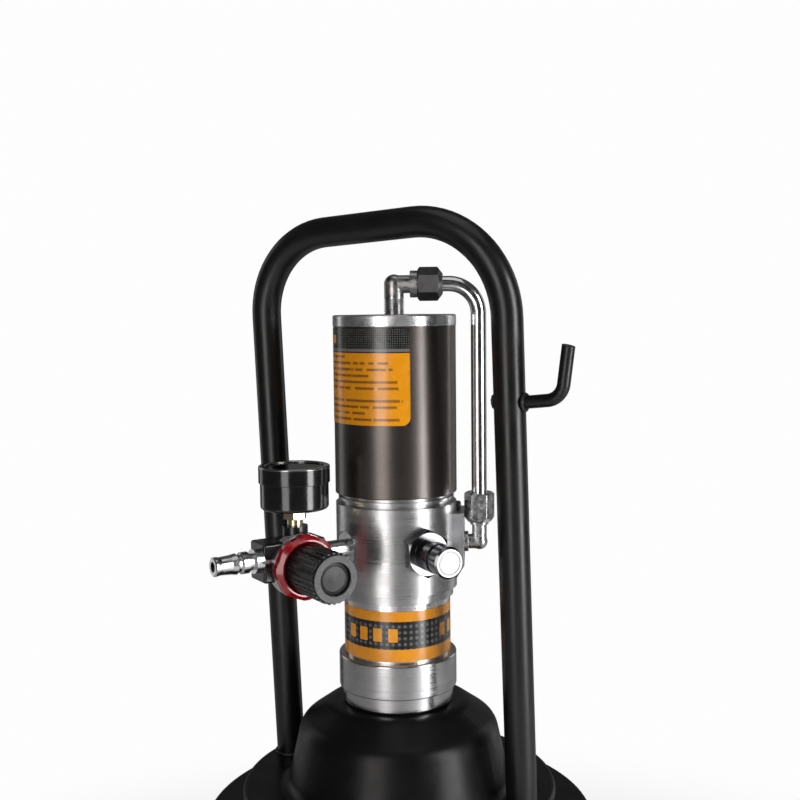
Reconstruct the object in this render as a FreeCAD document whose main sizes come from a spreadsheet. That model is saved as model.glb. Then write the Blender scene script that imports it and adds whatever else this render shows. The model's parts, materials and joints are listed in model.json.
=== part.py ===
"""Air-operated gear oil pump on its drum, built as a parametric FreeCAD document.

Millimetres, +Z up. The origin is the centre of the drum's foot; Z is the axis of drum, pump and cylinder.
The handle stands in the XZ plane. Fittings around the pump head are placed by their angle from +X about Z.
"""
import FreeCAD, Part
import math
import os
import re
import Sketcher

V = FreeCAD.Vector
UP = V(0, 0, 1)

DIMENSIONS = {
    # drum and cover
    "drum_radius": 120.5, "drum_wall": 1.2, "drum_height": 323, "drum_foot": 8, "drum_rim": 6,
    "drum_bead": 2.5, "gasket_height": 2, "cover_wall": 1.5, "cover_radius": 128.7, "cover_lip": 12,
    "cover_step_radius": 103.8, "cover_step_height": 348, "cover_flange_height": 326.5,
    "dome_foot_radius": 83, "dome_shoulder_radius": 65, "dome_top": 403, "dome_side_height": 389,
    "cover_hole_radius": 17.5,
    # cover clamps
    "clamp_count": 3, "clamp_first_angle": 2, "clamp_reach": 139, "clamp_pin_height": 290,
    "clamp_pin_radius": 3, "clamp_bolt_radius": 3, "clamp_bolt_length": 62, "clamp_eye_radius": 6,
    "claw_thickness": 4, "claw_width": 22, "ear_thickness": 3, "clamp_gap": 0.05,
    "wing_hub_radius": 6.5, "wing_hub_height": 9,
    # handle and hook
    "handle_half_width": 90.3, "handle_radius": 9.7, "handle_wall": 1.8, "handle_top": 365,
    "handle_left_bend": 54, "handle_right_bend": 60, "handle_rise": 2.5, "handle_lean": 2.8,
    "handle_side_lean": 0.4, "hook_radius": 4, "hook_height": 256, "hook_reach": 38.8,
    "hook_rise": 34, "hook_pitch": 6, "hook_stand": 81, "hook_bend": 12,
    # pump head, neck, collar
    "collar_base": 403, "collar_ring_radius": 36.5, "collar_ring_height": 10.5,
    "collar_radius": 38.8, "neck_base": 436.1, "neck_radius": 34.75, "band_base": 437.6,
    "band_height": 32.4, "band_thickness": 0.25, "head_base": 474.3, "head_flange_radius": 37,
    "head_flange_height": 5.6, "head_radius": 39.5, "head_top": 535.6, "head_seat": 542,
    "head_seat_radius": 36, "spigot_height": 7, "pad_reach": 44.5, "pad_width": 30, "pad_base": 483,
    "pad_top": 529.3, "pad_slope": 14, "pad_slope_depth": 8.5, "pad_sweep_radius": 47.2,
    "plug_height": 532.2, "plug_radius": 3, "plug_base": 34.6, "plug_length": 7.8,
    "port_height": 508.4, "port_angle_air": 27, "port_angle_outlet": 327, "port_angle_inlet": 244,
    # air cylinder
    "tube_radius": 39.7, "tube_bore": 36, "cap_base": 650, "cap_radius": 40, "cap_height": 7,
    "running": 0.05, "slack_gap": 0.1, "chamfer_share": 0.06, "corner_share": 0.58,
    "nut_nose_radius": 6.6, "nut_nose_length": 3.4, "nut_foot_radius": 7.8, "nut_foot_length": 3,
    "piston_base": 553, "piston_thickness": 16, "piston_radius": 35.8, "seal_depth": 4,
    "seal_width": 5, "rod_radius": 8, "rod_length": 400, "rod_tip_radius": 6, "rod_tip_length": 12,
    "label_base": 588.6, "label_height": 60.3, "label_end_angle": 315.3, "label_sweep": 144,
    "label_thickness": 0.2,
    # air line
    "air_height": 676.5, "air_reach": 54.4, "air_radius": 5, "air_bore": 3.8, "air_bend": 19,
    "upper_nut_reach": 15.5, "upper_nut_length": 16, "upper_nut_flats": 19, "lower_nut_base": 522,
    "lower_nut_length": 19, "lower_nut_flats": 17, "nut_wall": 3.4, "fitting_radius": 6,
    "thread_radius": 6.6, "elbow_body": 12.6, "elbow_radius": 4.8, "flange_radius": 8.7,
    "flange_length": 4.8, "ridge_count": 8, "ridge_pitch": 1.15,
    # spool valve
    "spool_reach": 26, "spool_radius": 6, "spool_base": 484, "spool_length": 40,
    # outlet fitting
    "outlet_flats": 27, "outlet_hex_reach": 39.6, "outlet_hex_length": 7, "outlet_barrel": 9.8,
    "outlet_end": 74, "outlet_bore": 7.2,
    # inlet and regulator
    "regulator_reach": 73.4, "block_outer": 25.6, "block_inner": 17, "block_front": 6,
    "block_back": 14, "block_top": 10.4, "block_bottom": 13.8, "bonnet_drop": 5.6,
    "bonnet_radius": 14.6, "bonnet_end": 16.3, "pipe_radius": 6, "pipe_bore": 3.5,
    "trim_radius": 20, "trim_bore": 16.6, "trim_back": -1, "trim_front": 7.9, "ring_nut_radius": 20,
    "ring_nut_depth": 7, "knob_start": 16.5, "knob_bore": 11, "knob_chamfer": 0.4,
    "rib_margin": 1.6, "end_ring_height": 0.7, "cap_depth": 2.2, "cap_lip": 0.6,
    "cap_lip_width": 1.8, "screw_length": 42.4, "knob_end": 48.5, "knob_root_radius": 14.9,
    "knob_tip_radius": 14.7, "knob_ribs": 28, "rib_radius": 0.9, "end_ring_radius": 14.3,
    "end_ring_bore": 10.3, "recess_radius": 10.1, "recess_depth": 4, "screw_radius": 3,
    "nipple_length": 31, "nipple_tip_radius": 5.9,
    # gauge
    "boss_radius": 7.9, "boss_height": 8.2, "gauge_offset": -2.3, "gauge_radius": 21.3,
    "bezel_radius": 22.2, "gauge_base": 537.7, "bezel_base": 554.2, "gauge_top": 564.8,
    "stem_base": 531.2, "bezel_bore": 18.2, "bezel_lip": 0.9, "lens_thickness": 1.6,
    "dial_depth": 6, "stem_flats": 13.2, "stem_radius": 4.9, "pointer_length": 15,
    # pump tube in the drum
    "suction_radius": 17, "suction_bore": 13, "suction_base": 40, "foot_base": 24,
    "foot_ball_radius": 7, "plunger_radius": 12.95, "plunger_length": 44, "plunger_ball_radius": 6,
    "follower_base": 236, "follower_radius": 110, "follower_thickness": 3, "wiper_width": 9.1,
    "wiper_thickness": 6,
    # smaller steps, walls and gaps
    "stem_thread_length": 8, "case_floor": 5, "case_wall": 1.2, "case_recess": 4,
    "stem_bore_radius": 1.8, "tool_length": 80, "rear_radius": 11.5, "rear_length": 8,
    "bonnet_step": 2, "cavity_radius": 13, "cavity_depth": 12, "bonnet_wall": 4, "trim_line": 0.7,
    "ring_nut_lip": 3.4, "ring_nut_recess": 2.4, "gland_width": 5, "gland_depth": 12,
    "rod_seal_height": 9, "inlet_port_depth": 29, "spot_face_radius": 11, "spot_face_depth": 1.2,
    "outlet_port_depth": 24, "air_port_depth": 34, "pipe_insert": 8, "collar_step": 1.8,
    "collar_length": 2.6, "spigot_length": 9.9, "elbow_bore": 2.8, "outlet_cap_length": 8,
    "outlet_thread_length": 12, "pointer_shaft_radius": 1.2, "dial_margin": 1.3,
    "dial_thickness": 0.6, "ear_gap": 0.3, "claw_length": 22, "clamp_eye_width": 5,
    "follower_sleeve": 9, "follower_height": 16, "ear_root": 4, "ear_nose": 6, "ear_height": 18,
    "pin_head_step": 1.5, "pin_head_length": 1.6, "notch_gap": 0.4, "wing_hub_taper": 1.5,
    "wing_tilt": 22, "wing_width": 8, "wing_thickness": 2.4, "wing_height": 15, "wing_reach": 6.2,
    "wing_start": 2.5, "wing_lift": 1.6, "handle_root": 5, "seat_ring_step": 1.8,
    "seat_ring_width": 1.6, "seat_ring_base": 2.6, "pad_root": 20, "plug_gap": 0.6, "spool_roof": 6,
    "groove_width": 3, "groove_base": 2, "groove_depth": 2.5, "cap_spigot": 10,
    "cap_groove_end": 7.1, "relief_reach": 13, "relief_depth": 1.3, "end_collar": 9.8,
    "lip_chamfer": 1.2, "nipple_bore": 3.2, "nipple_thread": 7, "nipple_flange_radius": 7.6,
    "nipple_flange": 5, "nipple_neck_radius": 5.2, "nipple_neck_end": 8, "nipple_body_radius": 6.7,
    "nipple_groove_start": 14, "nipple_groove_radius": 5.4, "pointer_shaft_length": 10,
    "pointer_width": 1.2, "pointer_tail": 5, "needle_thickness": 0.5, "needle_lift": 0.8,
    "lock_flats": 50, "lock_height": 9, "foot_bore": 5, "foot_step": 2, "foot_height": 26,
    "foot_cage_radius": 9, "foot_seat_top": 12, "foot_seat_base": 6, "foot_ball_lift": 16.6,
    "strainer_wall": 2, "strainer_height": 10, "strainer_hole": 2, "strainer_ring": 11,
    "plunger_inlet": 4, "plunger_cage_radius": 8.6, "plunger_seat_top": 9, "plunger_seat_base": 4,
    "plunger_ball_lift": 13.1, "wiper_drop": 1.5,
}

doc = FreeCAD.newDocument("gear_oil_pump")
sheet = doc.addObject("Spreadsheet::Sheet", "Dims")
for row, (alias, value) in enumerate(DIMENSIONS.items(), start=1):
    sheet.set(f"A{row}", alias)
    sheet.set(f"B{row}", str(value))
    sheet.setAlias(f"B{row}", alias)
doc.recompute()

NODES = {}


def dim(alias):
    """Value of one driving dimension."""
    return float(sheet.get(alias))


def formula(text):
    """Points every dimension word of an expression at the sheet."""
    def pointed(word):
        return f"Dims.{word.group(0)}" if word.group(0) in DIMENSIONS else word.group(0)
    return re.sub(r"[a-z_]{4,}", pointed, str(text))


def bind(item, **properties):
    """Binds properties to expressions; a double underscore stands for a dot."""
    for name, text in properties.items():
        item.setExpression(name.replace("__", "."), formula(text))


def keep(label, item):
    """Names a finished sub-part, which is written to its own file."""
    item.Label = label
    NODES[label] = item
    return item


# --- sketches and PartDesign bodies -----------------------------------------------------------------------

def new_body(label):
    return keep(label, doc.addObject("PartDesign::Body", label))


def new_sketch(body, name, role="XZ_Plane", lift="0"):
    sketch = body.newObject("Sketcher::SketchObject", name)
    plane = next(item for item in body.Origin.OriginFeatures if item.Role == role)
    sketch.AttachmentSupport = [(plane, "")]
    sketch.MapMode = "FlatFace"
    if lift != "0":
        sketch.setExpression("AttachmentOffset.Base.z", formula(lift))
    return sketch


def locate(sketch, geometry, end, x, y):
    """Dimensions one sketch point from the origin."""
    for kind, axis, text in (("DistanceX", -2, x), ("DistanceY", -1, y)):
        if text == "0":
            sketch.addConstraint(Sketcher.Constraint("PointOnObject", geometry, end, axis))
        else:
            index = sketch.addConstraint(Sketcher.Constraint(kind, -1, 1, geometry, end, 1.0))
            sketch.setExpression(f"Constraints[{index}]", formula(text))


def draw_outline(sketch, points):
    """Closed outline through points given as pairs of expressions."""
    count = len(points)
    turn = [2 * math.pi * step / count for step in range(count + 1)]
    corners = [V(20 + 10 * math.cos(angle), 20 + 10 * math.sin(angle), 0) for angle in turn]
    for step in range(count):
        sketch.addGeometry(Part.LineSegment(corners[step], corners[step + 1]), False)
    for step in range(count):
        sketch.addConstraint(Sketcher.Constraint("Coincident", step, 2, (step + 1) % count, 1))
    for step, (x, y) in enumerate(points):
        locate(sketch, step, 1, x, y)


def draw_circle(sketch, radius, x="0", y="0"):
    index = sketch.addGeometry(Part.Circle(V(1, 1, 0), UP, 1), False)
    if x == "0" and y == "0":
        sketch.addConstraint(Sketcher.Constraint("Coincident", index, 3, -1, 1))
    else:
        locate(sketch, index, 3, x, y)
    size = sketch.addConstraint(Sketcher.Constraint("Radius", index, 1.0))
    sketch.setExpression(f"Constraints[{size}]", formula(radius))


def round_edges(body, sketch, rounds):
    """Fillets the circular edges at given outline points; rounds maps point number to radius."""
    doc.recompute()
    for size in sorted(set(rounds.values()), reverse=True):
        spots = [sketch.Geometry[point].StartPoint for point, radius in rounds.items() if radius == size]
        names = []
        for number, edge in enumerate(body.Tip.Shape.Edges, start=1):
            if isinstance(edge.Curve, Part.Circle):
                centre = edge.Curve.Center
                if any(abs(edge.Curve.Radius - p.x) < 0.01 and abs(centre.z - p.y) < 0.01 for p in spots):
                    names.append(f"Edge{number}")
        base = body.Tip
        fillet = body.newObject("PartDesign::Fillet", f"{body.Name}_fillet")
        fillet.Base = (base, names)
        fillet.Radius = size
        doc.recompute()


def turned(label, points, rounds=None, sweep="360"):
    """A piece turned about its own Z axis from an outline of (radius, height) expressions."""
    body = new_body(label)
    sketch = new_sketch(body, f"{label}_profile")
    draw_outline(sketch, points)
    turn = body.newObject("PartDesign::Revolution", f"{label}_turn")
    turn.Profile = sketch
    turn.ReferenceAxis = (sketch, ["V_Axis"])
    bind(turn, Angle=sweep)
    sketch.Visibility = False
    if rounds:
        round_edges(body, sketch, rounds)
    return body


def repeat(body, feature, count):
    """Repeats one feature evenly about the body's Z axis."""
    pattern = body.newObject("PartDesign::PolarPattern", f"{feature.Name}_pattern")
    pattern.Originals = [feature]
    axis = next(item for item in body.Origin.OriginFeatures if item.Role == "Z_Axis")
    pattern.Axis = (axis, [""])
    pattern.Angle = 360
    pattern.Occurrences = count
    body.Tip = pattern
    return pattern


# --- Part primitives and booleans -------------------------------------------------------------------------

SIDE = FreeCAD.Rotation(V(0, 1, 0), 90)      # local Z turned to +X
FRONT = FreeCAD.Rotation(V(1, 0, 0), 90)     # local Z turned to -Y


def primitive(kind, name, at, turn):
    item = doc.addObject(kind, name)
    if turn is not None:
        item.Placement.Rotation = turn
    bind(item, Placement__Base__x=at[0], Placement__Base__y=at[1], Placement__Base__z=at[2])
    return item


def cylinder(name, radius, length, at=("0", "0", "0"), turn=None):
    item = primitive("Part::Cylinder", name, at, turn)
    bind(item, Radius=radius, Height=length)
    return item


def cone(name, radius, end_radius, length, at=("0", "0", "0"), turn=None):
    item = primitive("Part::Cone", name, at, turn)
    bind(item, Radius1=radius, Radius2=end_radius, Height=length)
    return item


def box(name, length, width, height, at=("0", "0", "0"), turn=None):
    item = primitive("Part::Box", name, at, turn)
    bind(item, Length=length, Width=width, Height=height)
    return item


def hexagon(name, flats, length, at=("0", "0", "0"), turn=None, sides=6):
    item = primitive("Part::Prism", name, at, turn)
    item.Polygon = sides
    bind(item, Circumradius=f"({flats}) / 2 / cos(180 / {sides})", Height=length)
    return item


def joined(name, items):
    item = doc.addObject("Part::MultiFuse", name)
    item.Shapes = items
    return item


def cut_from(name, base, tools):
    item = doc.addObject("Part::Cut", name)
    item.Base = base
    item.Tool = tools[0] if len(tools) == 1 else joined(f"{name}_tools", tools)
    return item


def common(name, base, tool):
    item = doc.addObject("Part::Common", name)
    item.Base = base
    item.Tool = tool
    return item


def hex_nut(label, flats, length, bores, foot=None, nose=None):
    """Hexagon nut with chamfered or coned ends; bores are (radius, from, length) along its axis."""
    blank = hexagon(f"{label}_hexagon", flats, length)
    shaped = common(f"{label}_shaped", blank, turned_tool(f"{label}_chamfer", flats, length, foot, nose))
    holes = [cylinder(f"{label}_bore_{number}", radius, size, ("0", "0", start))
             for number, (radius, start, size) in enumerate(bores)]
    return keep(label, cut_from(label, shaped, holes))


def turned_tool(name, flats, length, foot=None, nose=None):
    """Barrel that takes a hexagon's corners off; foot and nose are (end radius, cone length) pairs."""
    wide = f"({flats}) * corner_share"
    chamfer = (f"({flats}) / 2", f"({flats}) * chamfer_share")
    foot_radius, foot_length = foot or chamfer
    nose_radius, nose_length = nose or chamfer
    lower = cone(f"{name}_low", foot_radius, wide, foot_length)
    middle = cylinder(f"{name}_mid", wide, f"({length}) - {foot_length} - {nose_length}",
                      ("0", "0", foot_length))
    upper = cone(f"{name}_high", wide, nose_radius, nose_length, ("0", "0", f"({length}) - {nose_length}"))
    return joined(name, [lower, middle, upper])


# --- placing ----------------------------------------------------------------------------------------------

def stand(item, height):
    bind(item, Placement__Base__z=height)


def radial(item, angle, reach, height, spin=0):
    """Points a piece's own Z outward at an angle about the pump axis, with its own Y up."""
    turn = math.radians(dim(angle))
    outward = V(math.cos(turn), math.sin(turn), 0)
    frame = FreeCAD.Rotation(V(-outward.y, outward.x, 0), UP, outward, "ZXY")
    item.Placement.Rotation = frame * FreeCAD.Rotation(UP, spin)
    bind(item, Placement__Base__x=f"({reach}) * cos({angle})",
         Placement__Base__y=f"({reach}) * sin({angle})",
         Placement__Base__z=height)


def upright(item, angle, reach, height):
    """Keeps a piece's own Z up and turns its own X outward at an angle."""
    item.Placement.Rotation = FreeCAD.Rotation(UP, dim(angle))
    bind(item, Placement__Base__x=f"({reach}) * cos({angle})",
         Placement__Base__y=f"({reach}) * sin({angle})",
         Placement__Base__z=height)


# --- drum, gasket, cover ----------------------------------------------------------------------------------

def make_drum():
    inside = "drum_radius - drum_wall"
    outline = [("0", "drum_foot"), (inside, "drum_foot"), (inside, "0"), ("drum_radius", "0")]
    for share in ("0.36", "0.68"):
        middle = f"drum_height * {share}"
        outline += [("drum_radius", f"{middle} - 7"), ("drum_radius + drum_bead", f"{middle} - 2.5"),
                    ("drum_radius + drum_bead", f"{middle} + 2.5"), ("drum_radius", f"{middle} + 7")]
    outline += [("drum_radius", "drum_height - drum_rim - 1"),
                ("drum_radius + drum_rim", "drum_height - drum_rim - 1"),
                ("drum_radius + drum_rim", "drum_height"), (inside, "drum_height"),
                (inside, "drum_foot + drum_wall"), ("0", "drum_foot + drum_wall")]
    rounds = {point: 3.0 for point in (4, 5, 6, 7, 8, 9, 10, 11)}
    rounds.update({13: 2.9, 14: 2.9})
    turned("drum", outline, rounds)


def make_gasket():
    gasket = turned("cover_gasket", [("drum_radius - drum_wall + 0.2", "0"),
                                     ("drum_radius + drum_rim - 1", "0"),
                                     ("drum_radius + drum_rim - 1", "gasket_height"),
                                     ("drum_radius - drum_wall + 0.2", "gasket_height")])
    stand(gasket, "drum_height")


def make_cover():
    wall = "cover_wall"
    outline = [("cover_hole_radius", f"dome_top - {wall}"), (f"dome_shoulder_radius - 20 - {wall}",
                                                             f"dome_top - {wall}"),
               (f"dome_shoulder_radius - {wall}", f"dome_side_height - {wall}"),
               (f"dome_foot_radius - 9 - {wall}", f"cover_step_height - {wall}"),
               (f"cover_step_radius - {wall}", f"cover_step_height - {wall}"),
               (f"cover_step_radius - {wall}", f"cover_flange_height - {wall}"),
               (f"cover_radius - {wall}", f"cover_flange_height - {wall}"),
               (f"cover_radius - {wall}", "cover_flange_height - cover_lip"),
               ("cover_radius", "cover_flange_height - cover_lip"), ("cover_radius", "cover_flange_height"),
               ("cover_step_radius", "cover_flange_height"), ("cover_step_radius", "cover_step_height"),
               ("dome_foot_radius - 9", "cover_step_height"), ("dome_shoulder_radius", "dome_side_height"),
               ("dome_shoulder_radius - 20", "dome_top"), ("cover_hole_radius", "dome_top")]
    rounds = {1: 10.0, 14: 12.0, 2: 12.5, 13: 14.0, 12: 7.0, 3: 8.5, 11: 3.5, 4: 2.0, 10: 1.0, 9: 3.0,
              6: 1.4}
    cover = turned("drum_cover", outline, rounds)
    return cover


def each_clamp(label, build):
    """Builds one piece per clamp, each as its own sub-part."""
    for number in range(int(dim("clamp_count"))):
        item = build(f"{label}_{number + 1}")
        angle = f"clamp_first_angle + {number} * 360 / clamp_count"
        turn = dim("clamp_first_angle") + number * 360 / dim("clamp_count")
        item.Placement.Rotation = FreeCAD.Rotation(UP, turn)
        bind(item, Placement__Base__x=f"clamp_reach * cos({angle})",
             Placement__Base__y=f"clamp_reach * sin({angle})",
             Placement__Base__z="clamp_pin_height")


def clamp_group(label, build):
    """Joins the same fixed piece of every clamp into one node of separate solids."""
    items = []
    for number in range(int(dim("clamp_count"))):
        item = build(f"{label}_{number + 1}")
        angle = f"clamp_first_angle + {number} * 360 / clamp_count"
        turn = dim("clamp_first_angle") + number * 360 / dim("clamp_count")
        item.Placement.Rotation = FreeCAD.Rotation(UP, turn)
        bind(item, Placement__Base__x=f"clamp_reach * cos({angle})",
             Placement__Base__y=f"clamp_reach * sin({angle})",
             Placement__Base__z="clamp_pin_height")
        items.append(item)
    return keep(label, joined(label, items))


def clamp_ears(name):
    """Two ears standing out from the drum wall, with the pin hole through both."""
    inner = "clamp_bolt_radius + ear_gap"
    plates = []
    for side, start in (("left", inner), ("right", f"-({inner}) - ear_thickness")):
        plate = box(f"{name}_{side}", "clamp_reach - drum_radius + ear_root + ear_nose", "ear_thickness",
                    "ear_height", ("-(clamp_reach - drum_radius) - ear_root", start, "-ear_height / 2"))
        plates.append(plate)
    nose = cylinder(f"{name}_wall", "drum_radius", "tool_length", ("-clamp_reach", "0", "-tool_length / 2"))
    hole = cylinder(f"{name}_hole", "clamp_pin_radius", "tool_length", ("0", "tool_length / 2", "0"), FRONT)
    return cut_from(name, joined(f"{name}_plates", plates), [nose, hole])


def clamp_pin(name):
    reach = "clamp_bolt_radius + ear_gap + ear_thickness"
    shank = cylinder(f"{name}_shank", "clamp_pin_radius", f"2 * ({reach})", ("0", reach, "0"), FRONT)
    heads = [cylinder(f"{name}_head_{side}", "clamp_pin_radius + pin_head_step", "pin_head_length",
                      ("0", start, "0"), FRONT)
             for side, start in (("left", f"{reach} + pin_head_length"), ("right", f"-({reach})"))]
    return joined(name, [shank] + heads)


def clamp_claw(name):
    """Claw on the cover's rim, notched so that the swing bolt can drop in from outside."""
    top = "cover_flange_height - clamp_pin_height"
    plate = box(f"{name}_plate", "claw_length", "claw_width", "claw_thickness",
                ("-claw_length", "-claw_width / 2", top))
    notch = cylinder(f"{name}_notch", "clamp_bolt_radius + notch_gap", "2 * claw_thickness + claw_width",
                     ("0", "0", f"{top} - claw_thickness"))
    return cut_from(name, plate, [notch])


def swing_bolt(name):
    start = "clamp_eye_radius - pin_head_step"
    shank = cylinder(f"{name}_shank", "clamp_bolt_radius", f"clamp_bolt_length - {start}",
                     ("0", "0", start))
    eye = cylinder(f"{name}_eye", "clamp_eye_radius", "clamp_eye_width", ("0", "clamp_eye_width / 2", "0"),
                   FRONT)
    hole = cylinder(f"{name}_hole", "clamp_pin_radius + running", "tool_length",
                    ("0", "tool_length / 2", "0"), FRONT)
    return keep(name, cut_from(name, joined(f"{name}_blank", [shank, eye]), [hole]))


def wing_nut(name):
    low = "cover_flange_height + claw_thickness + clamp_gap - clamp_pin_height"
    hub = cone(f"{name}_hub", "wing_hub_radius", "wing_hub_radius - wing_hub_taper", "wing_hub_height",
               ("0", "0", low))
    wings = []
    for side, way in (("left", "1"), ("right", "-1")):
        tilt = FreeCAD.Rotation(V(0, 1, 0), int(way) * dim("wing_tilt"))
        wings.append(box(f"{name}_wing_{side}", "wing_width", "wing_thickness", "wing_height",
                         (f"{way} * wing_reach - wing_width / 2", "-wing_thickness / 2",
                          f"{low} + wing_start + {way} * wing_lift"), tilt))
    bore = cylinder(f"{name}_bore", "clamp_bolt_radius + running", "tool_length",
                    ("0", "0", f"{low} - wing_hub_height"))
    return keep(name, cut_from(name, joined(f"{name}_blank", [hub] + wings), [bore]))


# --- handle and hook --------------------------------------------------------------------------------------

def lean(item, lift):
    """Leans a piece with the handle, about the line between its feet."""
    back = FreeCAD.Rotation(V(1, 0, 0), dim("handle_lean"))
    side = FreeCAD.Rotation(V(0, 1, 0), -dim("handle_side_lean"))
    item.Placement.Rotation = side * back
    bind(item, Placement__Base__z=lift)


def make_handle():
    body = doc.addObject("PartDesign::Body", "handle_bend")
    path = new_sketch(body, "handle_path")
    width, top = dim("handle_half_width"), dim("handle_top")
    left, right = dim("handle_left_bend"), dim("handle_right_bend")
    start = -dim("handle_root")
    path.addGeometry(Part.LineSegment(V(-width, start, 0), V(-width, top - left, 0)), False)
    path.addGeometry(Part.ArcOfCircle(Part.Circle(V(left - width, top - left, 0), UP, left), math.pi / 2,
                                      math.pi), False)
    path.addGeometry(Part.LineSegment(V(left - width, top, 0), V(width - right, top, 0)), False)
    path.addGeometry(Part.ArcOfCircle(Part.Circle(V(width - right, top - right, 0), UP, right), 0,
                                      math.pi / 2), False)
    path.addGeometry(Part.LineSegment(V(width, top - right, 0), V(width, start, 0)), False)
    for first, first_end, second, second_end in ((0, 2, 1, 2), (1, 1, 2, 1), (2, 2, 3, 2), (3, 1, 4, 1)):
        path.addConstraint(Sketcher.Constraint("Tangent", first, first_end, second, second_end))
    path.addConstraint(Sketcher.Constraint("Vertical", 0))
    path.addConstraint(Sketcher.Constraint("Vertical", 4))
    locate(path, 0, 1, "-handle_half_width", "-handle_root")
    locate(path, 4, 2, "handle_half_width", "-handle_root")
    for geometry, size in ((1, "handle_left_bend"), (3, "handle_right_bend")):
        index = path.addConstraint(Sketcher.Constraint("Radius", geometry, 50.0))
        path.setExpression(f"Constraints[{index}]", formula(size))
    for end, span in ((1, "handle_left_bend - handle_half_width"),
                      (2, "handle_half_width - handle_right_bend")):
        index = path.addConstraint(Sketcher.Constraint("DistanceY", -1, 1, 2, end, top))
        path.setExpression(f"Constraints[{index}]", formula(f"handle_top + ({span}) * tan(handle_rise)"))
    section = new_sketch(body, "handle_section", "XY_Plane", "-handle_root")
    draw_circle(section, "handle_radius", "-handle_half_width")
    draw_circle(section, "handle_radius - handle_wall", "-handle_half_width")
    doc.recompute()
    tube = body.newObject("PartDesign::AdditivePipe", "handle_tube")
    tube.Profile = section
    tube.Spine = (path, [f"Edge{number}" for number in range(1, 6)])
    lean(body, "cover_step_height")
    under = box("handle_under", "5 * tool_length", "tool_length", "tool_length",
                ("-2.5 * tool_length", "-tool_length / 2", "cover_step_height - tool_length + running"))
    keep("handle", cut_from("handle", body, [under]))


def make_hook():
    """Round rod that leaves the right leg with a slight rise and turns up, leaning a little outward."""
    body = new_body("hose_hook")
    bend = dim("hook_bend")
    root = V(dim("handle_half_width") + dim("handle_radius"), dim("hook_height"), 0)
    tip = V(dim("handle_half_width") + dim("hook_reach"), dim("hook_height") + dim("hook_rise"), 0)
    first, last = math.radians(dim("hook_pitch")), math.radians(dim("hook_stand"))
    out, up = V(math.cos(first), math.sin(first), 0), V(math.cos(last), math.sin(last), 0)
    gap = tip - root
    cross = out.x * up.y - out.y * up.x
    corner = root + out * ((gap.x * up.y - gap.y * up.x) / cross)
    setback = bend * math.tan((last - first) / 2)
    leave, arrive = corner - out * setback, corner + up * setback
    centre = leave + V(-out.y, out.x, 0) * bend
    path = new_sketch(body, "hook_path")
    path.addGeometry(Part.LineSegment(root, leave), False)
    path.addGeometry(Part.ArcOfCircle(Part.Circle(centre, UP, bend), first - math.pi / 2,
                                      last - math.pi / 2), False)
    path.addGeometry(Part.LineSegment(arrive, tip), False)
    path.addConstraint(Sketcher.Constraint("Tangent", 0, 2, 1, 1))
    path.addConstraint(Sketcher.Constraint("Tangent", 1, 2, 2, 1))
    for geometry, angle, name in ((0, first, "hook_pitch"), (2, last, "hook_stand")):
        index = path.addConstraint(Sketcher.Constraint("Angle", geometry, angle))
        path.setExpression(f"Constraints[{index}]", formula(name))
    locate(path, 0, 1, "handle_half_width + handle_radius + slack_gap", "hook_height")
    locate(path, 2, 2, "handle_half_width + hook_reach", "hook_height + hook_rise")
    index = path.addConstraint(Sketcher.Constraint("Radius", 1, bend))
    path.setExpression(f"Constraints[{index}]", formula("hook_bend"))
    section = new_sketch(body, "hook_section", "YZ_Plane", "handle_half_width + handle_radius + slack_gap")
    draw_circle(section, "hook_radius", "0", "hook_height")
    doc.recompute()
    rod = body.newObject("PartDesign::AdditivePipe", "hook_rod")
    rod.Profile = section
    rod.Spine = (path, ["Edge1", "Edge2", "Edge3"])
    lean(body, "cover_step_height")


# --- pump head, neck, collar ------------------------------------------------------------------------------

def make_collar():
    bore = "suction_radius + running"
    collar = turned("collar", [(bore, "0"), ("collar_ring_radius", "0"),
                               ("collar_ring_radius", "collar_ring_height"),
                               ("collar_radius", "collar_ring_height"),
                               ("collar_radius", "neck_base - collar_base"),
                               (bore, "neck_base - collar_base")], {1: 2.0, 3: 1.0, 4: 1.4})
    stand(collar, "collar_base")


def make_neck():
    height = "head_base - neck_base"
    neck = turned("neck", [("suction_bore", "0"), ("neck_radius", "0"), ("neck_radius", height),
                           ("rod_radius + gland_width", height),
                           ("rod_radius + gland_width", f"{height} - gland_depth"),
                           ("suction_bore", f"{height} - gland_depth - slack_gap")])
    stand(neck, "neck_base")
    band = turned("neck_band", [("neck_radius", "0"), ("neck_radius + band_thickness", "0"),
                                ("neck_radius + band_thickness", "band_height"),
                                ("neck_radius", "band_height")])
    stand(band, "band_base")
    seal = turned("rod_seal", [("rod_radius + running", "0"), ("rod_radius + gland_width", "0"),
                               ("rod_radius + gland_width", "rod_seal_height"),
                               ("rod_radius + running", "rod_seal_height")])
    stand(seal, "head_base - rod_seal_height - 1")


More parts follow.
